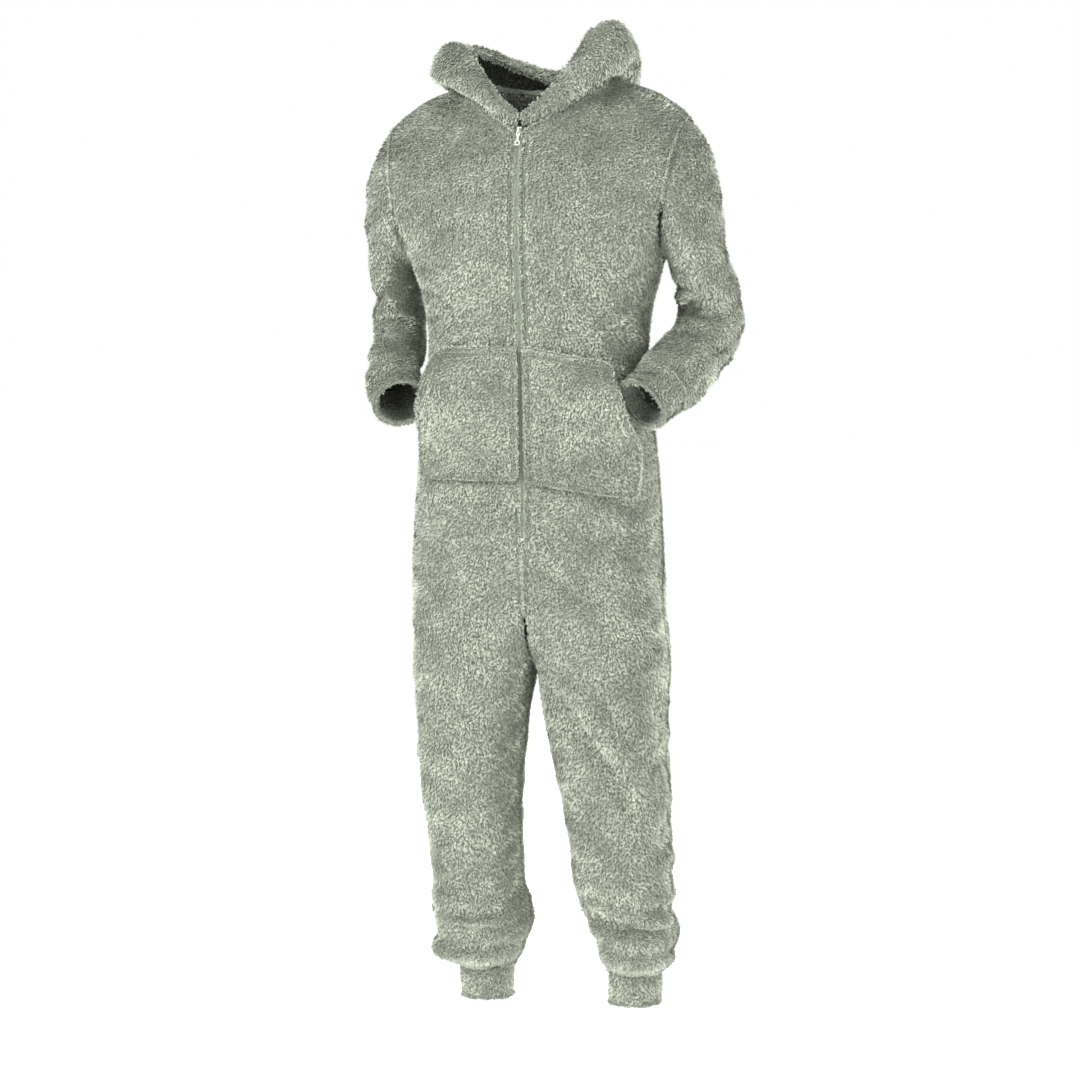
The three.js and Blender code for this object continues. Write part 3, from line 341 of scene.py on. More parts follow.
class StageSettings(bpy.types.PropertyGroup):
    """Floor, light and camera"""

    floor: colour("Floor", "Colour of the floor", (0.9, 0.9, 0.9))
    sky: bpy.props.FloatProperty(
        name="Sky",
        description="Strength of the even light from all round",
        default=0.5,
        min=0,
    )
    glow: bpy.props.FloatProperty(
        name="Floor glow",
        description="Light that the floor adds, as in a white studio",
        default=0.6,
        min=0,
    )
    azimuth: bpy.props.FloatProperty(
        name="Azimuth",
        description="Angle of the camera round the object",
        default=math.radians(12),
        subtype="ANGLE",
    )
    distance: bpy.props.FloatProperty(
        name="Distance",
        description="Distance of the camera from the upright axis",
        default=4.2,
        min=1,
        unit="LENGTH",
    )
    height: bpy.props.FloatProperty(
        name="Height",
        description="Height of the camera above the base of the neck",
        default=-0.42,
        unit="LENGTH",
    )
    field: bpy.props.FloatProperty(
        name="Field of view",
        description="Angle that the square frame takes in",
        default=math.radians(23.2),
        subtype="ANGLE",
    )


def new_material(name):
    material = bpy.data.materials.new(name)
    material.use_nodes = True
    tree = material.node_tree
    shader = tree.nodes["Principled BSDF"]
    return material, tree, shader


def node_of(tree, kind, **values):
    node = tree.nodes.new(kind)
    for key, value in values.items():
        if hasattr(node, key):
            setattr(node, key, value)
        else:
            node.inputs[key].default_value = value
    return node


def pattern(tree, kind, **values):
    """A pattern that lies on the piece's own coordinates."""
    place = node_of(tree, "ShaderNodeTexCoord")
    node = node_of(tree, kind, **values)
    tree.links.new(place.outputs["Object"], node.inputs["Vector"])
    return node


def two_tones(tree, shader, value, tone, dark, start=0.0, end=1.0):
    """Colours the shader by a value, from a darker share of a colour to the colour itself."""
    ramp = node_of(tree, "ShaderNodeValToRGB")
    ramp.color_ramp.elements[0].position = start
    ramp.color_ramp.elements[0].color = (*[dark * c for c in tone], 1)
    ramp.color_ramp.elements[1].position = end
    ramp.color_ramp.elements[1].color = (*tone, 1)
    tree.links.new(value, ramp.inputs["Fac"])
    tree.links.new(ramp.outputs["Color"], shader.inputs["Base Color"])


def spread(tree, value, low, high, start=0.0, end=1.0):
    """Turns a value between start and end into one between low and high."""
    node = node_of(tree, "ShaderNodeMapRange")
    node.inputs["From Min"].default_value = start
    node.inputs["From Max"].default_value = end
    node.inputs["To Min"].default_value = low
    node.inputs["To Max"].default_value = high
    tree.links.new(value, node.inputs["Value"])
    return node.outputs["Result"]


def times(tree, *values):
    """Multiplies some values."""
    product = values[0]
    for value in values[1:]:
        node = node_of(tree, "ShaderNodeMath", operation="MULTIPLY")
        tree.links.new(product, node.inputs[0])
        tree.links.new(value, node.inputs[1])
        product = node.outputs["Value"]
    return product


def pile_material(settings):
    """The locks: painted shade towards the base of each and pale at the tip, random tone, broad patches
    of painted light and shade where the nap turns, and painted light and shade at seams and stitches.
    """
    material, tree, shader = new_material("fleece_pile")
    link = tree.links.new
    lock = node_of(tree, "ShaderNodeAttribute", attribute_name="lock")
    parts = node_of(tree, "ShaderNodeSeparateColor")
    link(lock.outputs["Color"], parts.inputs["Color"])
    # Broad patches of painted light and shade, as where the nap turns; the smaller patches are random
    # tone
    nap_light_shade = pattern(tree, "ShaderNodeTexNoise", Scale=16.0, Detail=3.0, Roughness=0.6)
    patches = pattern(tree, "ShaderNodeTexNoise", Scale=75.0, Detail=2.0, Roughness=0.5)
    blend = node_of(tree, "ShaderNodeMix", data_type="RGBA")
    # Painted shade: the colour runs from the shaded base of each lock to its pale tip
    blend.inputs[6].default_value = (*settings.root, 1)
    blend.inputs[7].default_value = (*settings.tip, 1)
    link(spread(tree, parts.outputs["Green"], 0.0, 1.0, 0.0, 0.9), blend.inputs[0])
    tone = node_of(tree, "ShaderNodeVectorMath", operation="SCALE")
    link(blend.outputs[2], tone.inputs[0])
    strength = times(
        tree,
        spread(tree, parts.outputs["Red"], 0.7, 1.26),
        spread(tree, nap_light_shade.outputs["Fac"], 0.78, 1.18, 0.34, 0.66),
        spread(tree, patches.outputs["Fac"], 0.86, 1.14, 0.32, 0.68),
        # Blue: painted light on seams and stitch banks, painted shade in dips and grooves
        spread(tree, parts.outputs["Blue"], 0.66, 1.34),
    )
    link(strength, tone.inputs["Scale"])
    link(tone.outputs["Vector"], shader.inputs["Base Color"])
    shader.inputs["Roughness"].default_value = 0.9
    shader.inputs["Specular IOR Level"].default_value = 0.15
    shader.inputs["Sheen Weight"].default_value = settings.sheen
    shader.inputs["Sheen Roughness"].default_value = 0.4
    shader.inputs["Sheen Tint"].default_value = (0.92, 0.97, 0.86, 1)
    return material


def backing_material(settings):
    """The knit under the pile: fine ribs and stitches, its colour darkened as painted shade under the
    pile.
    """
    material, tree, shader = new_material("fleece_backing")
    ribs = pattern(tree, "ShaderNodeTexVoronoi", Scale=420.0)
    cloud = pattern(tree, "ShaderNodeTexNoise", Scale=330.0, Detail=3.0)
    two_tones(tree, shader, cloud.outputs["Fac"], settings.backing, 0.4, 0.38, 0.62)
    bump = node_of(tree, "ShaderNodeBump", Strength=0.5, Distance=0.0006)
    tree.links.new(ribs.outputs["Distance"], bump.inputs["Height"])
    tree.links.new(bump.outputs["Normal"], shader.inputs["Normal"])
    shader.inputs["Roughness"].default_value = 0.95
    shader.inputs["Specular IOR Level"].default_value = 0.1
    shader.inputs["Sheen Weight"].default_value = 0.15
    return material


def thread_material(settings):
    """Twisted sewing thread."""
    material, tree, shader = new_material("sewing_thread")
    twist = pattern(tree, "ShaderNodeTexWave", Scale=900.0, Distortion=1.0)
    twist.bands_direction = "DIAGONAL"
    two_tones(tree, shader, twist.outputs["Fac"], settings.thread, 0.72)
    shader.inputs["Roughness"].default_value = 0.55
    return material


def coil_material(settings):
    """Nylon with a slight change of tone."""
    material, tree, shader = new_material("zip_coil")
    noise = pattern(tree, "ShaderNodeTexNoise", Scale=300.0)
    two_tones(tree, shader, noise.outputs["Fac"], settings.coil, 0.85)
    shader.inputs["Roughness"].default_value = 0.4
    return material


def material_named(name, maker, settings):
    """The material of that name, made the first time that it is asked for."""
    return bpy.data.materials.get(name) or maker(settings)


def whole_numbers(items, name, per_item=1):
    values = np.zeros(len(items) * per_item, dtype=np.int32)
    items.foreach_get(name, values)
    return values


def vectors(items, name):
    values = np.empty(len(items) * 3)
    items.foreach_get(name, values)
    return values.reshape(-1, 3)


def coordinates(mesh):
    return vectors(mesh.vertices, "co")


def unit(rows, least=1e-9):
    """Rows of vectors brought to length one."""
    return rows / np.maximum(np.linalg.norm(rows, axis=1), least)[:, None]


def mark_sides(bm, inside):
    """Gives each face of a wall its side: backing outside, lining inside, or its edge."""
    bm.faces.ensure_lookup_table()
    bm.normal_update()
    tree = BVHTree.FromBMesh(bm)
    through = []
    for face in bm.faces:
        start = face.calc_center_median() - face.normal * 1e-5
        depth = tree.ray_cast(start, -face.normal)[3]
        through.append(1.0 if depth is None else depth)
    wall = float(np.median(through))
    for face, depth in zip(bm.faces, through):
        face.material_index = EDGE if depth > EDGE_RATIO * wall else BACKING
    seen = set()
    for start in bm.faces:
        if start.index in seen or start.material_index == EDGE:
            continue
        seen.add(start.index)
        region = [start]
        for face in region:
            for edge in face.edges:
                if edge.calc_face_angle(0) > SHARP_TURN:
                    continue
                for other in edge.link_faces:
                    if other.index not in seen and other.material_index != EDGE:
                        seen.add(other.index)
                        region.append(other)
        facing = sum(f.calc_area() * f.normal.dot(f.calc_center_median() - inside) for f in region)
        for face in region:
            face.material_index = BACKING if facing > 0 else LINING


def smooth_shell(name, node, inside, levels):
    """A rounded copy of a wall of cloth: its triangles paired up, its edges kept by creases."""
    bm = bmesh.new()
    bm.from_mesh(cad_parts[node].data)
    bmesh.ops.remove_doubles(bm, verts=bm.verts, dist=2e-5)
    mark_sides(bm, inside)
    bmesh.ops.join_triangles(
        bm,
        faces=bm.faces,
        cmp_materials=True,
        angle_face_threshold=math.radians(50),
        angle_shape_threshold=math.radians(75),
    )
    crease = bm.edges.layers.float.new("crease_edge")
    for edge in bm.edges:
        sides = {face.material_index for face in edge.link_faces}
        edge[crease] = 1.0 if len(sides) > 1 else 0.0
    for face in bm.faces:
        face.smooth = True
    mesh = bpy.data.meshes.new(name)
    bm.to_mesh(mesh)
    bm.free()
    rough = bpy.data.objects.new(name, mesh)
    bpy.context.scene.collection.objects.link(rough)
    finer = rough.modifiers.new("Round", "SUBSURF")
    finer.levels = levels
    finer.render_levels = levels
    graph = bpy.context.evaluated_depsgraph_get()
    shell = bpy.data.meshes.new_from_object(rough.evaluated_get(graph))
    bpy.data.objects.remove(rough)
    shell.name = name
    return shell


def from_line(points, line):
    """How far each point is across and behind a middle line, at its own height."""
    heights, across, back = np.array(line[::-1], dtype=float).T
    line_x = np.interp(points[:, 2], heights, across)
    line_y = np.interp(points[:, 2], heights, back)
    return points[:, 0] - line_x, points[:, 1] - line_y


def press(points, outwards, line, sign, creases, folds, reach_of_part):
    """Moves points along the cloth's outward direction by a list of creases."""
    low, high = reach_of_part
    across, back = from_line(points, line)
    angle = np.degrees(np.arctan2(back, across * sign))
    reach = np.hypot(across, back)
    z = points[:, 2]
    depth = np.zeros(len(points))
    for a0, z0, a1, z1, width, deep in creases:
        for lap in (-360, 0, 360):
            u = np.radians(angle - a0 + lap) * reach
            length_u = math.radians(a1 - a0) * np.mean(reach)
            length_z = z1 - z0
            total = length_u**2 + length_z**2
            share = (u * length_u + (z - z0) * length_z) / total
            held = np.clip(share, 0, 1)
            away = np.hypot(u - held * length_u, (z - z0) - held * length_z) / width
            swell = 0.35 + 0.65 * np.sin(math.pi * held)
            depth += deep * folds * swell * np.exp(-(away**2))
    fade = np.clip((z - low) / CREASE_FADE, 0, 1) * np.clip((high - z) / CREASE_FADE, 0, 1)
    return points - outwards * (depth * fade)[:, None]


def waves(points, seed, shortest, longest, count=10):
    """A smooth value between about -1 and 1 at each point, from a sum of seeded waves."""
    rng = np.random.default_rng(seed)
    total = np.zeros(len(points))
    for _ in range(count):
        direction = rng.normal(size=3)
        direction /= np.linalg.norm(direction)
        wave = 2 * math.pi / rng.uniform(shortest, longest)
        total += np.sin(points @ (direction * wave) + rng.uniform(0, 2 * math.pi))
    return total / math.sqrt(count / 2) / 1.6


def sides_of_points(mesh):
    """For each point of a shell, whether it is on its outside, its inside and its edge."""
    sides = whole_numbers(mesh.polygons, "material_index")
    corners = whole_numbers(mesh.loops, "vertex_index")
    per_corner = np.repeat(sides, whole_numbers(mesh.polygons, "loop_total"))
    on = np.zeros((3, len(mesh.vertices)), dtype=bool)
    for side in (BACKING, LINING, EDGE):
        on[side, corners[per_corner == side]] = True
    return on


def side_normals(mesh, wanted):
    """Normals at the points of one side alone, so that they don't lean over its rim."""
    areas = np.empty(len(mesh.polygons))
    mesh.polygons.foreach_get("area", areas)
    sides = whole_numbers(mesh.polygons, "material_index")
    corners = whole_numbers(mesh.loops, "vertex_index")
    owners = np.repeat(np.arange(len(areas)), whole_numbers(mesh.polygons, "loop_total"))
    mine = sides[owners] == wanted
    total = np.zeros((len(mesh.vertices), 3))
    weighted = vectors(mesh.polygons, "normal") * areas[:, None]
    np.add.at(total, corners[mine], weighted[owners[mine]])
    return unit(total, 1e-12)


def search_tree(points):
    tree = KDTree(len(points))
    for number, point in enumerate(points):
        tree.insert(point, number)
    tree.balance()
    return tree


def rim_tree(mesh):
    """A search tree of the points where the outside ends."""
    outer, _, edge = sides_of_points(mesh)
    return search_tree(coordinates(mesh)[outer & edge])


def fullness(tree, places):
    """From 0 at a seam or hem to 1 on the open cloth, and how near the dip beside it is."""
    away = [tree.find(place)[2] for place in places]
    away = np.array([FAR_FROM_SEAM if gap is None else gap for gap in away])
    return np.clip(away / SEAM_REACH, 0, 1), np.exp(-(((away - DIP_AT) / DIP_WIDTH) ** 2))


def wall_directions(mesh):
    """At each point, the way out through the wall, and its share from inside 0 to outside 1."""
    outer, inner, _ = sides_of_points(mesh)
    points = coordinates(mesh)
    out = side_normals(mesh, BACKING)
    back = side_normals(mesh, LINING)
    out = np.where((inner & ~outer)[:, None], -back, out)
    share = outer.astype(float)
    outer_at, inner_at = np.flatnonzero(outer), np.flatnonzero(inner)
    near_outer, near_inner = search_tree(points[outer_at]), search_tree(points[inner_at])
    for number in np.flatnonzero(~outer & ~inner):
        _, first, a = near_outer.find(points[number])
        _, _, b = near_inner.find(points[number])
        out[number] = out[outer_at[first]]
        share[number] = b / max(a + b, 1e-9)
    return out, share, inner & ~outer


def shape_shell(mesh, name, side, sign, settings, lining):
    """Sinks the shell under its pile and presses the small creases into both of its sides."""
    points = coordinates(mesh)
    outwards, share, inside = wall_directions(mesh)
    full, dip = fullness(rim_tree(mesh), points)
    sunk = settings.pile * share * (0.1 + 0.9 * full) + DIP_DEPTH * share * dip
    points = points - outwards * sunk[:, None]
    if lining:
        points = points + outwards * np.where(inside, settings.pile * 0.4, 0.0)[:, None]
    folds = settings.folds
    flat = points.copy()
    if name.startswith(("body", "leg")):
        creases = TORSO_CREASES[side]
        points = press(points, outwards, TORSO_LINE, sign, creases, folds, TORSO_RANGE)
        creases = LEG_CREASES[side]
        points = press(points, outwards, LEG_LINES[side], sign, creases, folds, LEG_RANGE)
    elif name.startswith("sleeve"):
        creases = ARM_CREASES[side]
        points = press(points, outwards, ARM_LINES[side], sign, creases, folds, ARM_RANGE)
    stiff = full if name.startswith("sleeve") else 0.45 + 0.55 * full
    points = flat + (points - flat) * stiff[:, None]
    wobble = waves(points, 7, 0.035, 0.09) * 0.0011 + waves(points, 8, 0.018, 0.03) * 0.0005
    points = points + outwards * (wobble * (0.2 + 0.8 * full))[:, None]
    mesh.vertices.foreach_set("co", points.ravel())
    mesh.update()


def rim_of(mesh):
    """Each edge where the outside ends: both ends, the way inwards over the cloth, its normal."""
    normals, centres = vectors(mesh.polygons, "normal"), vectors(mesh.polygons, "center")
    sides = whole_numbers(mesh.polygons, "material_index")
    borders = whole_numbers(mesh.loops, "edge_index")
    ends = whole_numbers(mesh.edges, "vertices", 2).reshape(-1, 2)
    owners = np.repeat(np.arange(len(sides)), whole_numbers(mesh.polygons, "loop_total"))
    outside = sides[owners] == BACKING
    owner = np.full(len(ends), -1)
    owner[borders[outside]] = owners[outside]
    meets = np.zeros(len(ends), dtype=bool)
    meets[borders[sides[owners] == EDGE]] = True
    rim = np.flatnonzero(meets & (owner >= 0))
    points = coordinates(mesh)
    start, end = points[ends[rim, 0]], points[ends[rim, 1]]
    along = unit(end - start)
    normal = normals[owner[rim]]
    inward = centres[owner[rim]] - (start + end) / 2
    for axis in (along, normal):
        inward = inward - axis * np.sum(inward * axis, axis=1)[:, None]
    return start, end, unit(inward), normal


def part_of_rim(part, kind, sign, middle, inward):
    """Which rim edges belong to a named part of the rim."""
    out = middle[:, 0] * sign
    if part == "top":
        return inward[:, 2] < -0.75
    if part == "mouth":
        return (inward[:, 0] * sign < -0.3) & (np.abs(inward[:, 2]) < 0.9) & (middle[:, 2] > -0.56)
    low = -0.39 if kind == "body_front" else -1.0
    beside = (inward[:, 0] * sign > 0.7) & (np.abs(out) < 0.035)
    return beside & (middle[:, 2] < -0.075) & (middle[:, 2] > low)


def stitch_rows(mesh, kind, sign, stitch):
    """Places of the stitches of a piece: middle, way along, normal and length."""
    start, end, inward, _ = rim_of(mesh)
    middle = (start + end) / 2
    tree = BVHTree.FromPolygons(
        [v.co.copy() for v in mesh.vertices],
        [list(p.vertices) for p in mesh.polygons if p.material_index == BACKING],
    )
    rim = search_tree(middle)
    rows = []
    for part, distance in HEMS[kind]:
        for number in np.flatnonzero(part_of_rim(part, kind, sign, middle, inward)):
            length = np.linalg.norm(end[number] - start[number])
            share = max(1, round(length / stitch))
            along = (end[number] - start[number]) / max(length, 1e-9)
            for step in range(share):
                spot = start[number] + along * length * (step + 0.5) / share
                spot = spot + inward[number] * distance
                place, normal, _, _ = tree.find_nearest(Vector(spot))
                if place is None or rim.find(place)[2] < distance * 0.8:
                    continue
                rows.append((place[:], along, normal[:], length / share))
    return rows


def press_rows(mesh, rows):
    """Sinks the cloth along its rows of stitches."""
    tree = search_tree([row[0] for row in rows])
    points, outwards = coordinates(mesh), side_normals(mesh, BACKING)
    away = np.array([tree.find(point)[2] for point in points])
    depth = ROW_DEPTH * np.exp(-((away / ROW_WIDTH) ** 2))
    mesh.vertices.foreach_set("co", (points - outwards * depth[:, None]).ravel())
    mesh.update()


def scatter(mesh, wanted, spacing, rng):
    """Random places on one side of a shell: points and smooth normals."""
    mesh.calc_loop_triangles()
    corners = whole_numbers(mesh.loop_triangles, "vertices", 3).reshape(-1, 3)
    owners = whole_numbers(mesh.loop_triangles, "polygon_index")
    sides = whole_numbers(mesh.polygons, "material_index")
    corners = corners[sides[owners] == wanted]
    points = coordinates(mesh)
    normals = side_normals(mesh, wanted)
    a, b, c = (points[corners[:, i]] for i in range(3))
    areas = np.linalg.norm(np.cross(b - a, c - a), axis=1) / 2
    number = np.floor(areas / spacing**2 + rng.random(len(areas))).astype(int)
    chosen = np.repeat(np.arange(len(areas)), number)
    u, v = rng.random(len(chosen)), rng.random(len(chosen))
    over = u + v > 1
    u[over], v[over] = 1 - u[over], 1 - v[over]
    weights = np.stack([1 - u - v, u, v], axis=1)
    places = sum(weights[:, i : i + 1] * points[corners[chosen, i]] for i in range(3))
    facing = sum(weights[:, i : i + 1] * normals[corners[chosen, i]] for i in range(3))
    facing /= np.linalg.norm(facing, axis=1)[:, None]
    return places, facing


def along_rim(mesh, step, rng):
    """Places close along the rim of the outside, leaning over it, and the way across it."""
    start, end, inward, normal = rim_of(mesh)
    number = np.ceil(np.linalg.norm(end - start, axis=1) / step).astype(int)
    chosen = np.repeat(np.arange(len(number)), number)
    share = rng.random(len(chosen))[:, None]
    places = start[chosen] * (1 - share) + end[chosen] * share
    places = places + inward[chosen] * (rng.random(len(chosen)) * RIM_BAND)[:, None]
    facing = normal[chosen] - inward[chosen] * 0.35
    facing /= np.linalg.norm(facing, axis=1)[:, None]
    return places, facing, -inward[chosen]


def lock_shape():
    """One lock: a leaf folded along its ridge. Points across, along and up, and how near the tip, which
    sets the painted shade towards the base.
    """
    points = np.array([(0, 0, 0.05), (-0.5, 0.48, 0.0), (0.5, 0.48, 0.0), (0, 1, 0.42)])
    faces = np.array([(0, 2, 3), (0, 3, 1)])
    tips = np.array([0.0, 0.55, 0.55, 1.0])
    return points, faces, tips


def in_sight(places):
    """True where the inside shows through the neck, a wrist or an ankle."""
    near = (places[:, 2] > NECK_BOTTOM) & (np.abs(places[:, 0]) < NECK_HALF_WIDTH)
    for kind in ("sleeve_cuff", "leg_cuff"):
        for side in ("left", "right"):
            low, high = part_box(f"{kind}_{side}")
            middle = (np.array(low) + np.array(high)) / 2
            near |= np.linalg.norm(places - middle, axis=1) < CUFF_REACH
    return near


def nap(places, facing, toward):
    """The way the pile lies at each place: down the cloth. The locks swirl a little when they are grown.
    """
    down = np.broadcast_to(np.array(toward, dtype=float), places.shape)
    along = down - facing * np.sum(down * facing, axis=1)[:, None]
    size = np.linalg.norm(along, axis=1)[:, None]
    spare = np.cross(facing, np.array([1.0, 0.0, 0.0]))
    along = np.where(size > 0.15, along / np.maximum(size, 1e-6), spare)
    along /= np.linalg.norm(along, axis=1)[:, None]
    return along


def grow_pile(name, tufts, settings, rng):
    """A mesh of locks of pile, joined, with their tone, their height, which sets the painted shade
    towards the base, and their painted light and shade in the attribute lock.
    """
    shape, faces, tips = lock_shape()
    places, facing, along, scale, pale = (np.concatenate(part) for part in zip(*tufts))
    along = unit(along - facing * np.sum(along * facing, axis=1)[:, None])
    count = len(places)
    swirl = 0.6 * waves(places, 21, 0.03, 0.09) + 0.45 * waves(places, 22, 0.009, 0.02)
    turn = swirl + rng.normal(0, 0.3, count)
    side = np.cross(along, facing)
    way = along * np.cos(turn)[:, None] + side * np.sin(turn)[:, None]
    lift = np.radians(rng.uniform(12, 38, count))
    forward = way * np.cos(lift)[:, None] + facing * np.sin(lift)[:, None]
    up = facing * np.cos(lift)[:, None] - way * np.sin(lift)[:, None]
    across = np.cross(forward, up)
    size = scale * rng.uniform(0.7, 1.25, count)
    width = settings.width * size * rng.uniform(0.75, 1.3, count)
    length = settings.length * size
    thick = settings.pile * 0.9 * size
    corners = places[:, None, :] + (
        across[:, None, :] * (shape[:, 0] * width[:, None])[:, :, None]
        + forward[:, None, :] * (shape[:, 1] * length[:, None])[:, :, None]
        + up[:, None, :] * (shape[:, 2] * thick[:, None])[:, :, None]
    )
    curl = rng.normal(0, 0.14, count) * length
    corners[:, -1] += across * curl[:, None]
    mesh = joined_mesh(name, corners, faces)
    values = np.ones((count, len(shape), 4), dtype=np.float32)
    values[:, :, 0] = rng.random(count)[:, None]
    # How near the tip each point is, which sets the painted shade towards the base of the lock
    values[:, :, 1] = tips[None]
    # Painted light on seams and the banks beside stitches, painted shade in the dips and grooves
    values[:, :, 2] = 0.5 + 0.5 * pale[:, None]
    lock = mesh.attributes.new("lock", "FLOAT_COLOR", "POINT")
    lock.data.foreach_set("color", values.ravel())
    return mesh


def joined_mesh(name, corners, faces):
    """One mesh of many copies of a small shape of triangles, from the points of each copy."""
    count, points = corners.shape[:2]
    indices = (faces[None] + points * np.arange(count)[:, None, None]).reshape(-1)
    mesh = bpy.data.meshes.new(name)
    mesh.vertices.add(count * points)
    mesh.vertices.foreach_set("co", corners.ravel())
    mesh.loops.add(len(indices))
    mesh.loops.foreach_set("vertex_index", indices.astype(np.int32))
    polygons = count * len(faces)
    mesh.polygons.add(polygons)
    mesh.polygons.foreach_set("loop_start", np.arange(0, polygons * 3, 3, dtype=np.int32))
    mesh.polygons.foreach_set("use_smooth", np.ones(polygons, dtype=bool))
    mesh.update(calc_edges=True)
    return mesh


def add_piece(mesh, name, body, material):
    """Adds a piece to the garment. It comes after the sides of a shell are used, as it clears them."""
    piece = bpy.data.objects.new(name, mesh)
    bpy.context.scene.collection.objects.link(piece)
    mesh.materials.clear()
    mesh.materials.append(material)
    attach(piece, body)
    return piece


def node_tree_of(*nodes):
    """A search tree over the CAD surfaces of some nodes."""
    points, faces = [], []
    for node in nodes:
        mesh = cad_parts[node].data
        start = len(points)
        points.extend(v.co.copy() for v in mesh.vertices)
        faces.extend([start + i for i in p.vertices] for p in mesh.polygons)
    return BVHTree.FromPolygons(points, faces)


def covered(places, facing, tree, reach):
    """Which places have another piece close over them."""
    return np.array(
        [
            tree.ray_cast(Vector(p) + Vector(n) * 0.001, Vector(n), reach)[0] is not None
            for p, n in zip(places, facing)
        ],
        dtype=bool,
    )


def outer_tufts(shell, rows, away, cover, settings, rng):
    """The pile on the outside, shorter and with painted light at seams and painted shade in the dips
    beside them, sunk and with painted shade along stitches and painted light on the banks beside them.
    """
    places, facing = scatter(shell, BACKING, settings.spacing, rng)
    if cover:
        hidden = covered(places, facing, cover, COVER_REACH)
        places, facing = places[~hidden], facing[~hidden]
    full, dip = fullness(rim_tree(shell), places)
    # Painted light near a seam and painted shade in the dip beside it
    scale, pale = 0.7 + 0.3 * full - 0.15 * dip, 0.4 * (1 - full) - 0.6 * dip
    if rows:
        tree = search_tree([row[0] for row in rows])
        gap = np.array([tree.find(place)[2] for place in places])
        groove = np.exp(-((gap / GROOVE_WIDTH) ** 2))
        scale -= 0.5 * groove
        # Painted light on the banks beside a row of stitches, painted shade in its groove
        pale += 0.8 * np.exp(-(((gap - BANK_AT) / BANK_WIDTH) ** 2))
        pale -= groove
    return places, facing, nap(places, facing, away), scale, pale


def even_tufts(places, facing, along, scale, pale=0.0):
    """Tufts of one size and one share of painted light."""
    many = len(places)
    return places, facing, along, np.full(many, scale), np.full(many, pale)


def rim_tufts(shell, away, cover, rng):
    """The pile that hides a seam: half of it leans over the rim."""
    places, facing, over = along_rim(shell, RIM_STEP, rng)
    if cover:
        hidden = covered(places, facing, cover, COVER_REACH)
        places, facing, over = places[~hidden], facing[~hidden], over[~hidden]
    leaning = (rng.random(len(places)) < 0.5)[:, None]
    lean = np.where(leaning, over, nap(places, facing, away))
    # The locks along a seam get painted light
    return even_tufts(places, facing, lean, 0.75, 0.3)


def pile_of(name, shell, rows, away, lining, cover, settings, rng):
    """All the pile of one piece: outside, edge, rim, and the inside that is in sight."""
    tufts = [outer_tufts(shell, rows, away, cover, settings, rng)]
    places, facing = scatter(shell, EDGE, settings.spacing, rng)
    tufts.append(even_tufts(places, facing, nap(places, facing, away), 0.7))
    tufts.append(rim_tufts(shell, away, cover, rng))
    places, facing = scatter(shell, LINING, settings.spacing * LINING_SPACING, rng)
    near = in_sight(places) | lining
    places, facing = places[near], facing[near]
    tufts.append(even_tufts(places, facing, nap(places, facing, away), 0.75))
    return grow_pile(name, tufts, settings, rng)


def make_cloth(context, kind, side, toward=(0, 0, -1), lining=False, cover=None):
    """One piece of cloth: the shell that stands for its node, and the pile on it."""
    settings = context.scene.onesie_fleece
    node = f"{kind}_{side}"
    sign = 1 if side == "left" else -1
    (width, length, area), spot = CUTS[kind]
    low, high = (Vector(corner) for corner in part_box(node))
    inside = Vector((spot[0] * sign, spot[1], spot[2])) if spot else (low + high) / 2
    shell = smooth_shell(f"{node}_cloth", node, inside, ROUNDING)
    shape_shell(shell, kind, side, sign, settings, lining)
    rows = stitch_rows(shell, kind, sign, settings.stitch) if kind in HEMS else []
    if rows:
        press_rows(shell, rows)
    backing = material_named("fleece_backing", backing_material, settings)
    pile = material_named("fleece_pile", pile_material, settings)
    rng = np.random.default_rng(hash_of(node))
    away = np.array(toward, dtype=float) * np.array([sign, 1, 1])
    over = node_tree_of(cover) if cover else None
    mesh = pile_of(f"{node}_pile", shell, rows, away, lining, over, settings, rng)
    cloth = add_piece(shell, f"{node}_cloth", "garment", backing)
    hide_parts(node)
    extras = [add_piece(mesh, f"{node}_pile", "garment", pile)]
    if rows:
        thread = material_named("sewing_thread", thread_material, settings)
        mesh = sew(f"{node}_thread", rows, settings)
        extras.append(add_piece(mesh, f"{node}_thread", "garment", thread))


def sew(name, rows, settings):
    """The stitches of a piece, lying in their row under the tips of the pile."""
    shape, faces = tooth_mesh()
    matrices = []
    for spot, along, normal, length in rows:
        normal = Vector(normal)
        along = (Vector(along) - normal * normal.dot(along)).normalized()
        across = normal.cross(along)
        columns = [along * length * STITCH_SHARE, across * THREAD_WIDTH, normal * THREAD_WIDTH]
        centre = Vector(spot) + normal * (settings.pile * 0.35)
        matrices.append(placed(columns, centre))
    return repeat_mesh(name, shape, faces, np.array(matrices))


def placed(columns, spot):
    """The 3 by 4 matrix with three columns and a place."""
    return [[column[row] for column in columns] + [spot[row]] for row in range(3)]


def hash_of(word):
    """The same whole number for the same word in each run."""
    total = 17
    for letter in word:
        total = (total * 31 + ord(letter)) % 1000003
    return total


class ONESIE_OT_body(bpy.types.Operator):
    """Make the four panels of the body and legs"""

    bl_idname = "onesie.body"
    bl_label = "Body Panels"

    def execute(self, context):
        for side in ("left", "right"):
            make_cloth(context, "body_front", side, cover=f"pocket_{side}")
            make_cloth(context, "body_back", side)
        return {"FINISHED"}


class ONESIE_OT_sleeves(bpy.types.Operator):
    """Make both sleeves"""

    bl_idname = "onesie.sleeves"
    bl_label = "Sleeves"

    def execute(self, context):
        for side in ("left", "right"):
            make_cloth(context, "sleeve", side, toward=(-0.1, -0.35, -0.9))
        return {"FINISHED"}


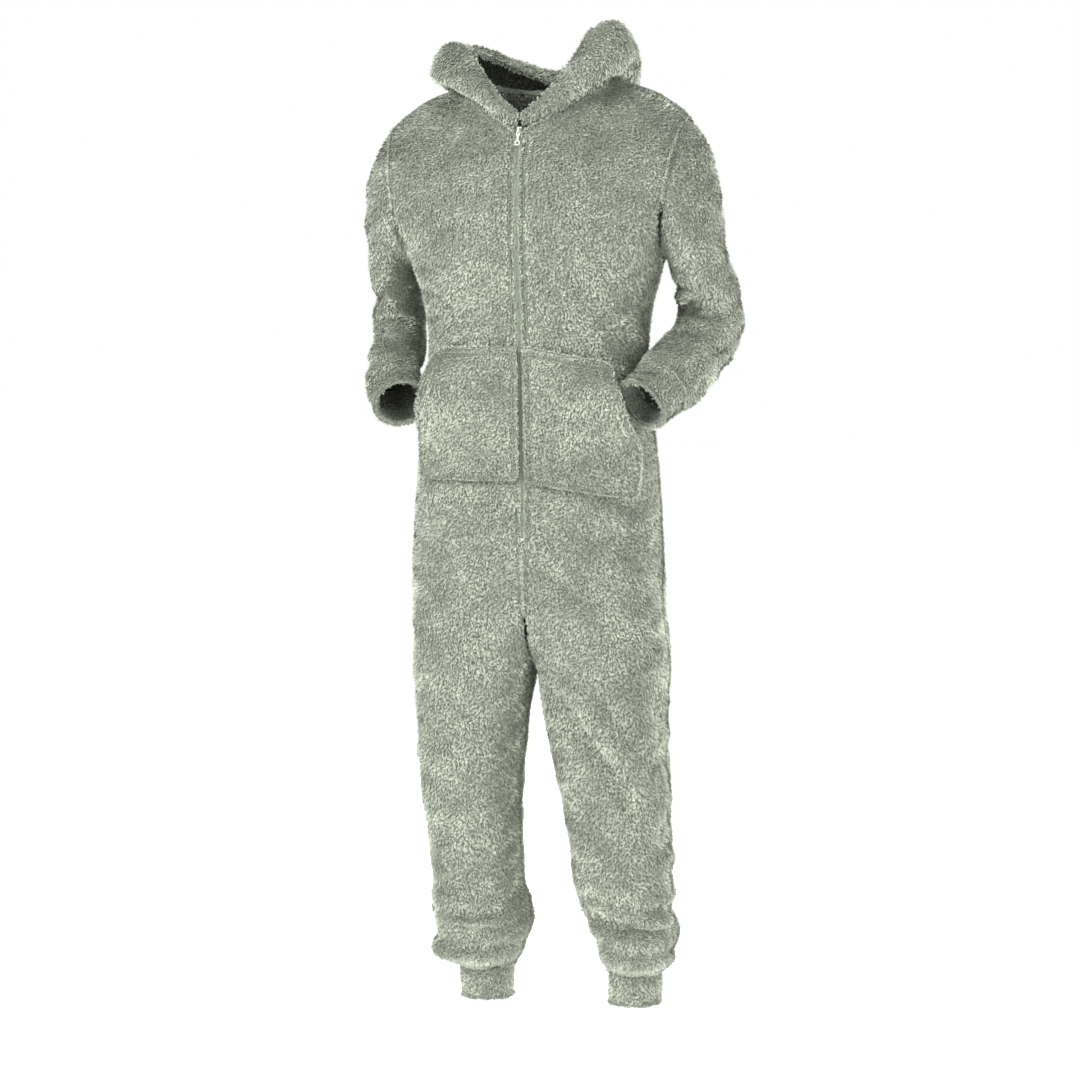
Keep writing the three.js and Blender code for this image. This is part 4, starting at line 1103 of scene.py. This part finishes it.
class ONESIE_OT_hood(bpy.types.Operator):
    """Make both halves of the hood, with pile on both of their sides"""

    bl_idname = "onesie.hood"
    bl_label = "Hood"

    def execute(self, context):
        for side in ("left", "right"):
            make_cloth(context, "hood", side, toward=(-0.3, 0, -1), lining=True)
        return {"FINISHED"}


class ONESIE_OT_cuffs(bpy.types.Operator):
    """Make the cuffs of the sleeves and legs"""

    bl_idname = "onesie.cuffs"
    bl_label = "Cuffs"

    def execute(self, context):
        for side in ("left", "right"):
            make_cloth(context, "sleeve_cuff", side, toward=(-0.4, -0.7, -0.6))
            make_cloth(context, "leg_cuff", side)
        return {"FINISHED"}


class ONESIE_OT_pocket(bpy.types.Operator):
    """Make both halves of the pocket"""

    bl_idname = "onesie.pocket"
    bl_label = "Pocket"

    def execute(self, context):
        for side in ("left", "right"):
            make_cloth(context, "pocket", side)
        return {"FINISHED"}


def tooth_mesh():
    """A short rounded rod, for one turn of the coil or one stitch."""
    bm = bmesh.new()
    bmesh.ops.create_cone(bm, cap_ends=True, segments=6, radius1=0.5, radius2=0.5, depth=1.0)
    ends = [v for v in bm.verts if v.co.z > 0]
    bmesh.ops.scale(bm, verts=ends, vec=(0.7, 0.7, 1.0))
    lying = Vector((0, 0, 1)).rotation_difference((-1, 0, 0)).to_matrix()
    bmesh.ops.rotate(bm, verts=bm.verts, matrix=lying)
    bmesh.ops.triangulate(bm, faces=bm.faces)
    points = np.array([v.co[:] for v in bm.verts])
    faces = np.array([[v.index for v in f.verts] for f in bm.faces])
    bm.free()
    return points, faces


def repeat_mesh(name, shape, faces, matrices):
    """One mesh of many copies of a small shape, each placed by a 3 by 4 matrix."""
    spots = np.einsum("nij,pj->npi", matrices[:, :, :3], shape) + matrices[:, None, :, 3]
    return joined_mesh(name, spots, faces)


def zip_path():
    """Points down the middle of the zip on the face of its tapes, with the way across."""
    tree = node_tree_of("zip_tape_left", "zip_tape_right")
    spots = []
    for i in range(COIL_STEPS + 1):
        z = COIL_TOP + (COIL_END - COIL_TOP) * i / COIL_STEPS
        left = tree.ray_cast(Vector((middle_x(z) + 0.002, -0.3, z)), Vector((0, 1, 0)))[0]
        right = tree.ray_cast(Vector((middle_x(z) - 0.002, -0.3, z)), Vector((0, 1, 0)))[0]
        if left is None or right is None:
            continue
        spots.append(((left + right) / 2, (left - right).normalized()))
    return spots


def middle_x(z):
    """Where the middle of the zip is across, at a height: the body turns towards the top."""
    share = min(max((z - TURN_FROM) / TURN_RISE, 0), 1)
    return TURN_RADIUS * math.sin(BODY_TURN * share**2 * (3 - 2 * share))


def coil_turns(spots, pitch):
    """The matrices of the turns of the coil, from the two sides in turn."""
    matrices = []
    carried = 0.0
    for (here, across), (after, _) in zip(spots, spots[1:]):
        span = (after - here).length
        down = (after - here).normalized()
        out = across.cross(down).normalized()
        while carried < span:
            sign = 1 if len(matrices) % 2 == 0 else -1
            spot = here + down * carried + out * -TURN_SINK + across * (TURN_SHIFT * sign)
            columns = [across * sign * TURN_LENGTH, down * sign * TURN_WIDTH, out * TURN_WIDTH]
            matrices.append(placed(columns, spot))
            carried += pitch / 2
        carried -= span
    return np.array(matrices)


class ONESIE_OT_zip(bpy.types.Operator):
    """Make the coil of the zip. Its tapes, slider, tab and stop keep the frame's materials"""

    bl_idname = "onesie.zip"
    bl_label = "Zip"

    def execute(self, context):
        settings = context.scene.onesie_zip
        shape, faces = tooth_mesh()
        mesh = repeat_mesh("zip_coil", shape, faces, coil_turns(zip_path(), settings.pitch))
        coil = material_named("zip_coil", coil_material, settings)
        add_piece(mesh, "zip_coil", "garment", coil)
        return {"FINISHED"}


def add_light(name, location, target, size, power):
    data = bpy.data.lights.new(name, "AREA")
    data.shape = "DISK"
    data.size = size
    data.energy = power
    light = bpy.data.objects.new(name, data)
    light.location = location
    aim = Vector(target) - Vector(location)
    light.rotation_euler = aim.to_track_quat("-Z", "Y").to_euler()
    bpy.context.scene.collection.objects.link(light)


def make_floor(settings):
    bm = bmesh.new()
    bmesh.ops.create_grid(bm, x_segments=1, y_segments=1, size=FLOOR_HALF)
    bmesh.ops.translate(bm, verts=bm.verts, vec=(0, 0, FLOOR_HEIGHT))
    mesh = bpy.data.meshes.new("floor")
    bm.to_mesh(mesh)
    bm.free()
    floor = bpy.data.objects.new("floor", mesh)
    bpy.context.scene.collection.objects.link(floor)
    material, _, shader = new_material("floor")
    shader.inputs["Base Color"].default_value = (*settings.floor, 1)
    shader.inputs["Roughness"].default_value = 0.9
    shader.inputs["Emission Color"].default_value = (1, 1, 1, 1)
    shader.inputs["Emission Strength"].default_value = settings.glow
    mesh.materials.append(material)


def make_studio(settings):
    """A world that looks white and lights by the strength of the sky, and the lamps."""
    world = bpy.data.worlds.new("studio")
    world.use_nodes = True
    background = world.node_tree.nodes["Background"]
    background.inputs["Color"].default_value = (1, 1, 1, 1)
    rays = node_of(world.node_tree, "ShaderNodeLightPath")
    shown = spread(world.node_tree, rays.outputs["Is Camera Ray"], settings.sky, 1.0)
    world.node_tree.links.new(shown, background.inputs["Strength"])
    scene = bpy.context.scene
    scene.world = world
    scene.view_settings.view_transform = "Standard"
    scene.view_settings.look = "None"
    for light in LIGHTS:
        add_light(*light)


def make_camera(settings):
    data = bpy.data.cameras.new("camera")
    data.sensor_fit = "AUTO"
    data.angle = settings.field
    data.clip_start = 0.05
    data.clip_end = 200
    data.shift_x = 2 / 1080
    camera = bpy.data.objects.new("camera", data)
    camera.location = (
        settings.distance * math.sin(settings.azimuth),
        -settings.distance * math.cos(settings.azimuth),
        settings.height,
    )
    aim = Vector(AIM) - camera.location
    camera.rotation_euler = aim.to_track_quat("-Z", "Y").to_euler()
    bpy.context.scene.collection.objects.link(camera)
    bpy.context.scene.camera = camera


class ONESIE_OT_stage(bpy.types.Operator):
    """Make the floor, the lights and the camera"""

    bl_idname = "onesie.stage"
    bl_label = "Stage"

    def execute(self, context):
        settings = context.scene.onesie_stage
        make_floor(settings)
        make_studio(settings)
        make_camera(settings)
        return {"FINISHED"}


class ONESIE_PT_panel(bpy.types.Panel):
    """Steps and settings of the one-piece"""

    bl_idname = "ONESIE_PT_panel"
    bl_label = "One-Piece"
    bl_space_type = "VIEW_3D"
    bl_region_type = "UI"
    bl_category = "One-Piece"

    def draw(self, context):
        layout = self.layout
        for settings in ("onesie_fleece", "onesie_zip", "onesie_stage"):
            group = getattr(context.scene, settings)
            box = layout.box()
            for name in group.bl_rna.properties.keys():
                if name not in ("rna_type", "name"):
                    box.prop(group, name)
        for operator in OPERATORS:
            layout.operator(operator.bl_idname)


OPERATORS = (
    ONESIE_OT_stage,
    ONESIE_OT_body,
    ONESIE_OT_sleeves,
    ONESIE_OT_hood,
    ONESIE_OT_cuffs,
    ONESIE_OT_pocket,
    ONESIE_OT_zip,
)
GROUPS = (FleeceSettings, ZipSettings, StageSettings)


def register():
    for group in GROUPS:
        bpy.utils.register_class(group)
    bpy.types.Scene.onesie_fleece = bpy.props.PointerProperty(type=FleeceSettings)
    bpy.types.Scene.onesie_zip = bpy.props.PointerProperty(type=ZipSettings)
    bpy.types.Scene.onesie_stage = bpy.props.PointerProperty(type=StageSettings)
    for operator in OPERATORS:
        bpy.utils.register_class(operator)
    bpy.utils.register_class(ONESIE_PT_panel)


def unregister():
    bpy.utils.unregister_class(ONESIE_PT_panel)
    for operator in reversed(OPERATORS):
        bpy.utils.unregister_class(operator)
    del bpy.types.Scene.onesie_stage
    del bpy.types.Scene.onesie_zip
    del bpy.types.Scene.onesie_fleece
    for group in reversed(GROUPS):
        bpy.utils.unregister_class(group)


def main():
    register()
    bpy.ops.onesie.stage()
    bpy.ops.onesie.body()
    bpy.ops.onesie.sleeves()
    bpy.ops.onesie.hood()
    bpy.ops.onesie.cuffs()
    bpy.ops.onesie.pocket()
    bpy.ops.onesie.zip()


if __name__ == "__main__":
    main()
